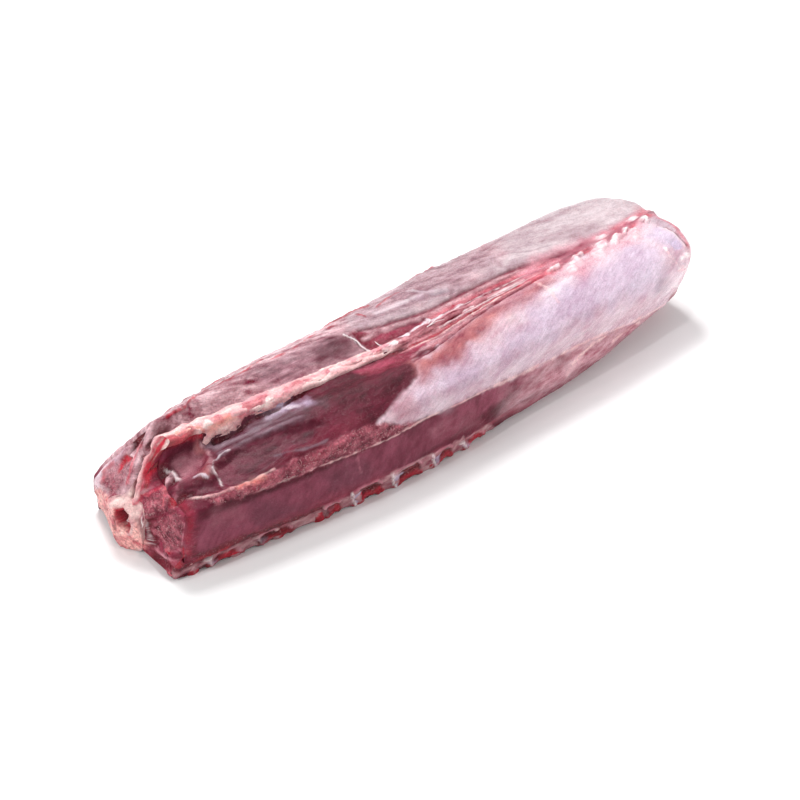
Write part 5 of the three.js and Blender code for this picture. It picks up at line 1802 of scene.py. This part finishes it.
@dataclass
class Sinews:
    """Threads and shreds of sinew that the knife left standing."""

    material: bpy.types.Material
    threads: tuple[Thread, ...] = (
        Thread(Side.FAR, ((-46, 2.85), (-42.5, 2.45), (-41, 1.6), (-39.5, 0.7)), (0.4, 0.9, 0.8, 0.4), 1.0),
        Thread(Side.FAR, ((-32, 2.0), (-32, 1.5), (-31.5, 0.9)), (1.2, 1.0, 1.0), 0.8),
        Thread(Side.NEAR, ((-4, 0.3), (2, 0.4), (8, 0.3), (14, 0.8)), (1.0, 1.6, 2.0, 2.2), 0.8),
        Thread(Side.NEAR, ((2, 0.2), (6, 0.1), (9, 0.1)), (1.0, 1.8, 2.8), 0.7),
        Thread(Side.FAR, ((4, 0.5), (7, 0.9), (8, 1.3)), (0.8, 1.6, 2.2), 0.7),
    )
    sides: int = 8
    steps: int = 26
    wander: float = 0.35
    wander_cell: float = 3.0
    wander_seed: int = 81
    across_to: tuple[float, float, float] = (0.1, 0.2, 1.0)
    taper_ends: tuple[float, float] = (0.04, 0.96)
    end_share: float = 0.25
    flatness: float = 0.6
    flat_scale: float = 3.0
    seed: int = 82

    def build(self) -> None:
        """Builds all the threads as one mesh."""
        skin = Skin()
        for number, thread in enumerate(self.threads):
            self.add_thread(skin, number, thread)
        skin.piece("sinew_threads", self.material, (), "meat")

    def add_thread(self, skin: Skin, number: int, thread: Thread) -> None:
        """Adds one thread: a flat tube that wanders a little and tapers at both ends.

        Args:
            skin: The mesh so far.
            number: The thread's number, from 0.
            thread: The thread.
        """
        x, u = np.array(thread.places, float).T
        points = FORM.skin_point(thread.side, x, u)
        points[:, 2] += thread.lifts
        share = np.linspace(0, len(x) - 1, self.steps)
        level = np.repeat(points[:, :2, None], self.steps, -1)
        upright = np.repeat(points[:, 1:, None], self.steps, -1)
        middle = np.concatenate([curve_point(level, share), curve_point(upright, share)[1:]]).T
        wander = (Pattern(self.wander_cell, self.wander_seed + axis + number) for axis in range(3))
        middle += self.wander * np.stack([pattern.at(middle) for pattern in wander], -1)
        tangent = np.gradient(middle, axis=0)
        tangent /= np.linalg.norm(tangent, axis=-1, keepdims=True)
        across = np.cross(tangent, self.across_to)
        across /= np.linalg.norm(across, axis=-1, keepdims=True)
        third = np.cross(tangent, across)
        angle = 2 * np.pi * np.arange(self.sides) / self.sides
        full = np.sin(np.pi * np.linspace(*self.taper_ends, self.steps))
        radius = thread.thickness / 2 * (self.end_share + (1 - self.end_share) * full)
        ring = (np.cos(angle)[:, None] * across[:, None]
                + self.flatness * np.sin(angle)[:, None] * third[:, None])
        tube = middle[:, None] + radius[:, None, None] * ring
        flat = spread(self.flat_scale * share[:, None], angle)
        skin.add(tube, Canvas(flat, tube, Tissue.SINEW_AND_GLINT, self.seed), closed=True, flip=True)


@dataclass(frozen=True)
class Lamp:
    """A square light that faces the origin, with its place and side in mm and its power in watts."""

    name: str
    place: tuple[float, float, float]
    side: float
    power: float


@dataclass
class Studio:
    """A pale floor, soft light from behind the saddle and a camera at the photograph's viewing angle."""

    target: tuple[float, float, float] = (4, -12, 35)
    azimuth: float = -40.02
    elevation: float = 35.3
    distance: float = 1000.0
    lens: float = 71.55
    sensor: float = 36.0
    image_side: float = 800.0
    target_pixel: tuple[float, float] = (434.5, 369.0)
    sight: float = 100.0
    floor_side: float = 6000.0
    paper_white: float = 0.95
    paper_roughness: float = 0.9
    paper_sheen: float = 0.1
    world_light: float = 0.45
    # The key is large and soft, from behind and above. The three smaller ones give glints.
    lamps: tuple[Lamp, ...] = (
        Lamp("key", (160, 480, 1050), 440, 12.4),
        Lamp("glint_front", (-960, 60, 560), 180, 3.9),
        Lamp("glint_side", (360, -380, 220), 90, 0.75),
        Lamp("glint_top", (-60, -100, 1150), 40, 1.3),
    )

    def build(self) -> None:
        """Builds the camera, the floor and the lights."""
        self.camera()
        self.floor()
        self.world()
        for lamp in self.lamps:
            self.light(lamp)

    def put(self, piece: bpy.types.Object, right: np.ndarray, back: np.ndarray, place: np.ndarray) -> None:
        """Puts a camera or a light into the scene, turned to look away from its back.

        Args:
            piece: The camera or light.
            right: The direction to its right.
            back: The direction behind it.
            place: Its place in mm.
        """
        matrix = np.eye(4)
        matrix[:3, :3] = np.column_stack([right, np.cross(back, right), back])
        matrix[:3, 3] = place * MM
        piece.matrix_world = matrix.T.tolist()
        bpy.context.scene.collection.objects.link(piece)

    def camera(self) -> None:
        """Places the camera by its angles round the target, and shifts its view to put that on its pixel."""
        azimuth, elevation = math.radians(self.azimuth), math.radians(self.elevation)
        back = np.array([math.sin(azimuth) * math.cos(elevation), -math.cos(azimuth) * math.cos(elevation),
                         math.sin(elevation)])
        right = np.array([math.cos(azimuth), math.sin(azimuth), 0])
        data = bpy.data.cameras.new("camera")
        data.lens, data.sensor_width = self.lens, self.sensor
        middle = self.image_side / 2
        data.shift_x = (middle - self.target_pixel[0]) / self.image_side
        data.shift_y = (self.target_pixel[1] - middle) / self.image_side
        data.clip_end = self.sight
        camera = bpy.data.objects.new("camera", data)
        self.put(camera, right, back, np.array(self.target) + back * self.distance)
        bpy.context.scene.camera = camera

    def floor(self) -> None:
        """A white seamless paper floor, matt, which gives the eye a clean ground for a soft shadow."""
        half = self.floor_side / 2 * MM
        mesh = bpy.data.meshes.new("floor")
        mesh.from_pydata([(-half, -half, 0), (half, -half, 0), (half, half, 0), (-half, half, 0)], [],
                         [(0, 1, 2, 3)])
        material = bpy.data.materials.new("white_paper")
        material.use_nodes = True
        paper = material.node_tree.nodes["Principled BSDF"].inputs
        paper["Base Color"].default_value = (*[self.paper_white] * 3, 1)
        paper["Roughness"].default_value = self.paper_roughness
        paper["Specular IOR Level"].default_value = self.paper_sheen
        mesh.materials.append(material)
        floor = bpy.data.objects.new("floor", mesh)
        bpy.context.scene.collection.objects.link(floor)

    def world(self) -> None:
        """A white world, seen without any tone curve."""
        bpy.context.scene.view_settings.view_transform = "Standard"
        world = bpy.data.worlds.new("white_room")
        world.use_nodes = True
        background = world.node_tree.nodes["Background"].inputs
        background["Color"].default_value = (1, 1, 1, 1)
        background["Strength"].default_value = self.world_light
        bpy.context.scene.world = world

    def light(self, lamp: Lamp) -> None:
        """Adds a light that faces the origin.

        Args:
            lamp: Which light.
        """
        data = bpy.data.lights.new(lamp.name, "AREA")
        data.shape = "SQUARE"
        data.size = lamp.side * MM
        data.energy = lamp.power
        back = np.array(lamp.place, float) / np.linalg.norm(lamp.place)
        right = np.cross((0, 0, 1), back)
        right /= np.linalg.norm(right)
        self.put(bpy.data.objects.new(lamp.name, data), right, back, np.array(lamp.place))


def main() -> None:
    """Builds the pieces and the studio in order."""
    logging.basicConfig(level=logging.INFO, format="%(message)s")
    venison, bone, fat, sinew = (
        finish.material() for finish in (VENISON, FRESH_BONE, RIDGE_FAT, WET_SINEW)
    )
    LoinHalf(Side.NEAR, NEAR_MARKS, NEAR_RIB_FEET, venison, top_columns=170).build()
    LoinHalf(Side.FAR, FAR_MARKS, FAR_RIB_FEET, venison, top_columns=112).build()
    Backbone(bone).build()
    Ribs(bone).build()
    RidgeFat(fat).build()
    Sinews(sinew).build()
    Studio().build()


if __name__ == "__main__":
    main()
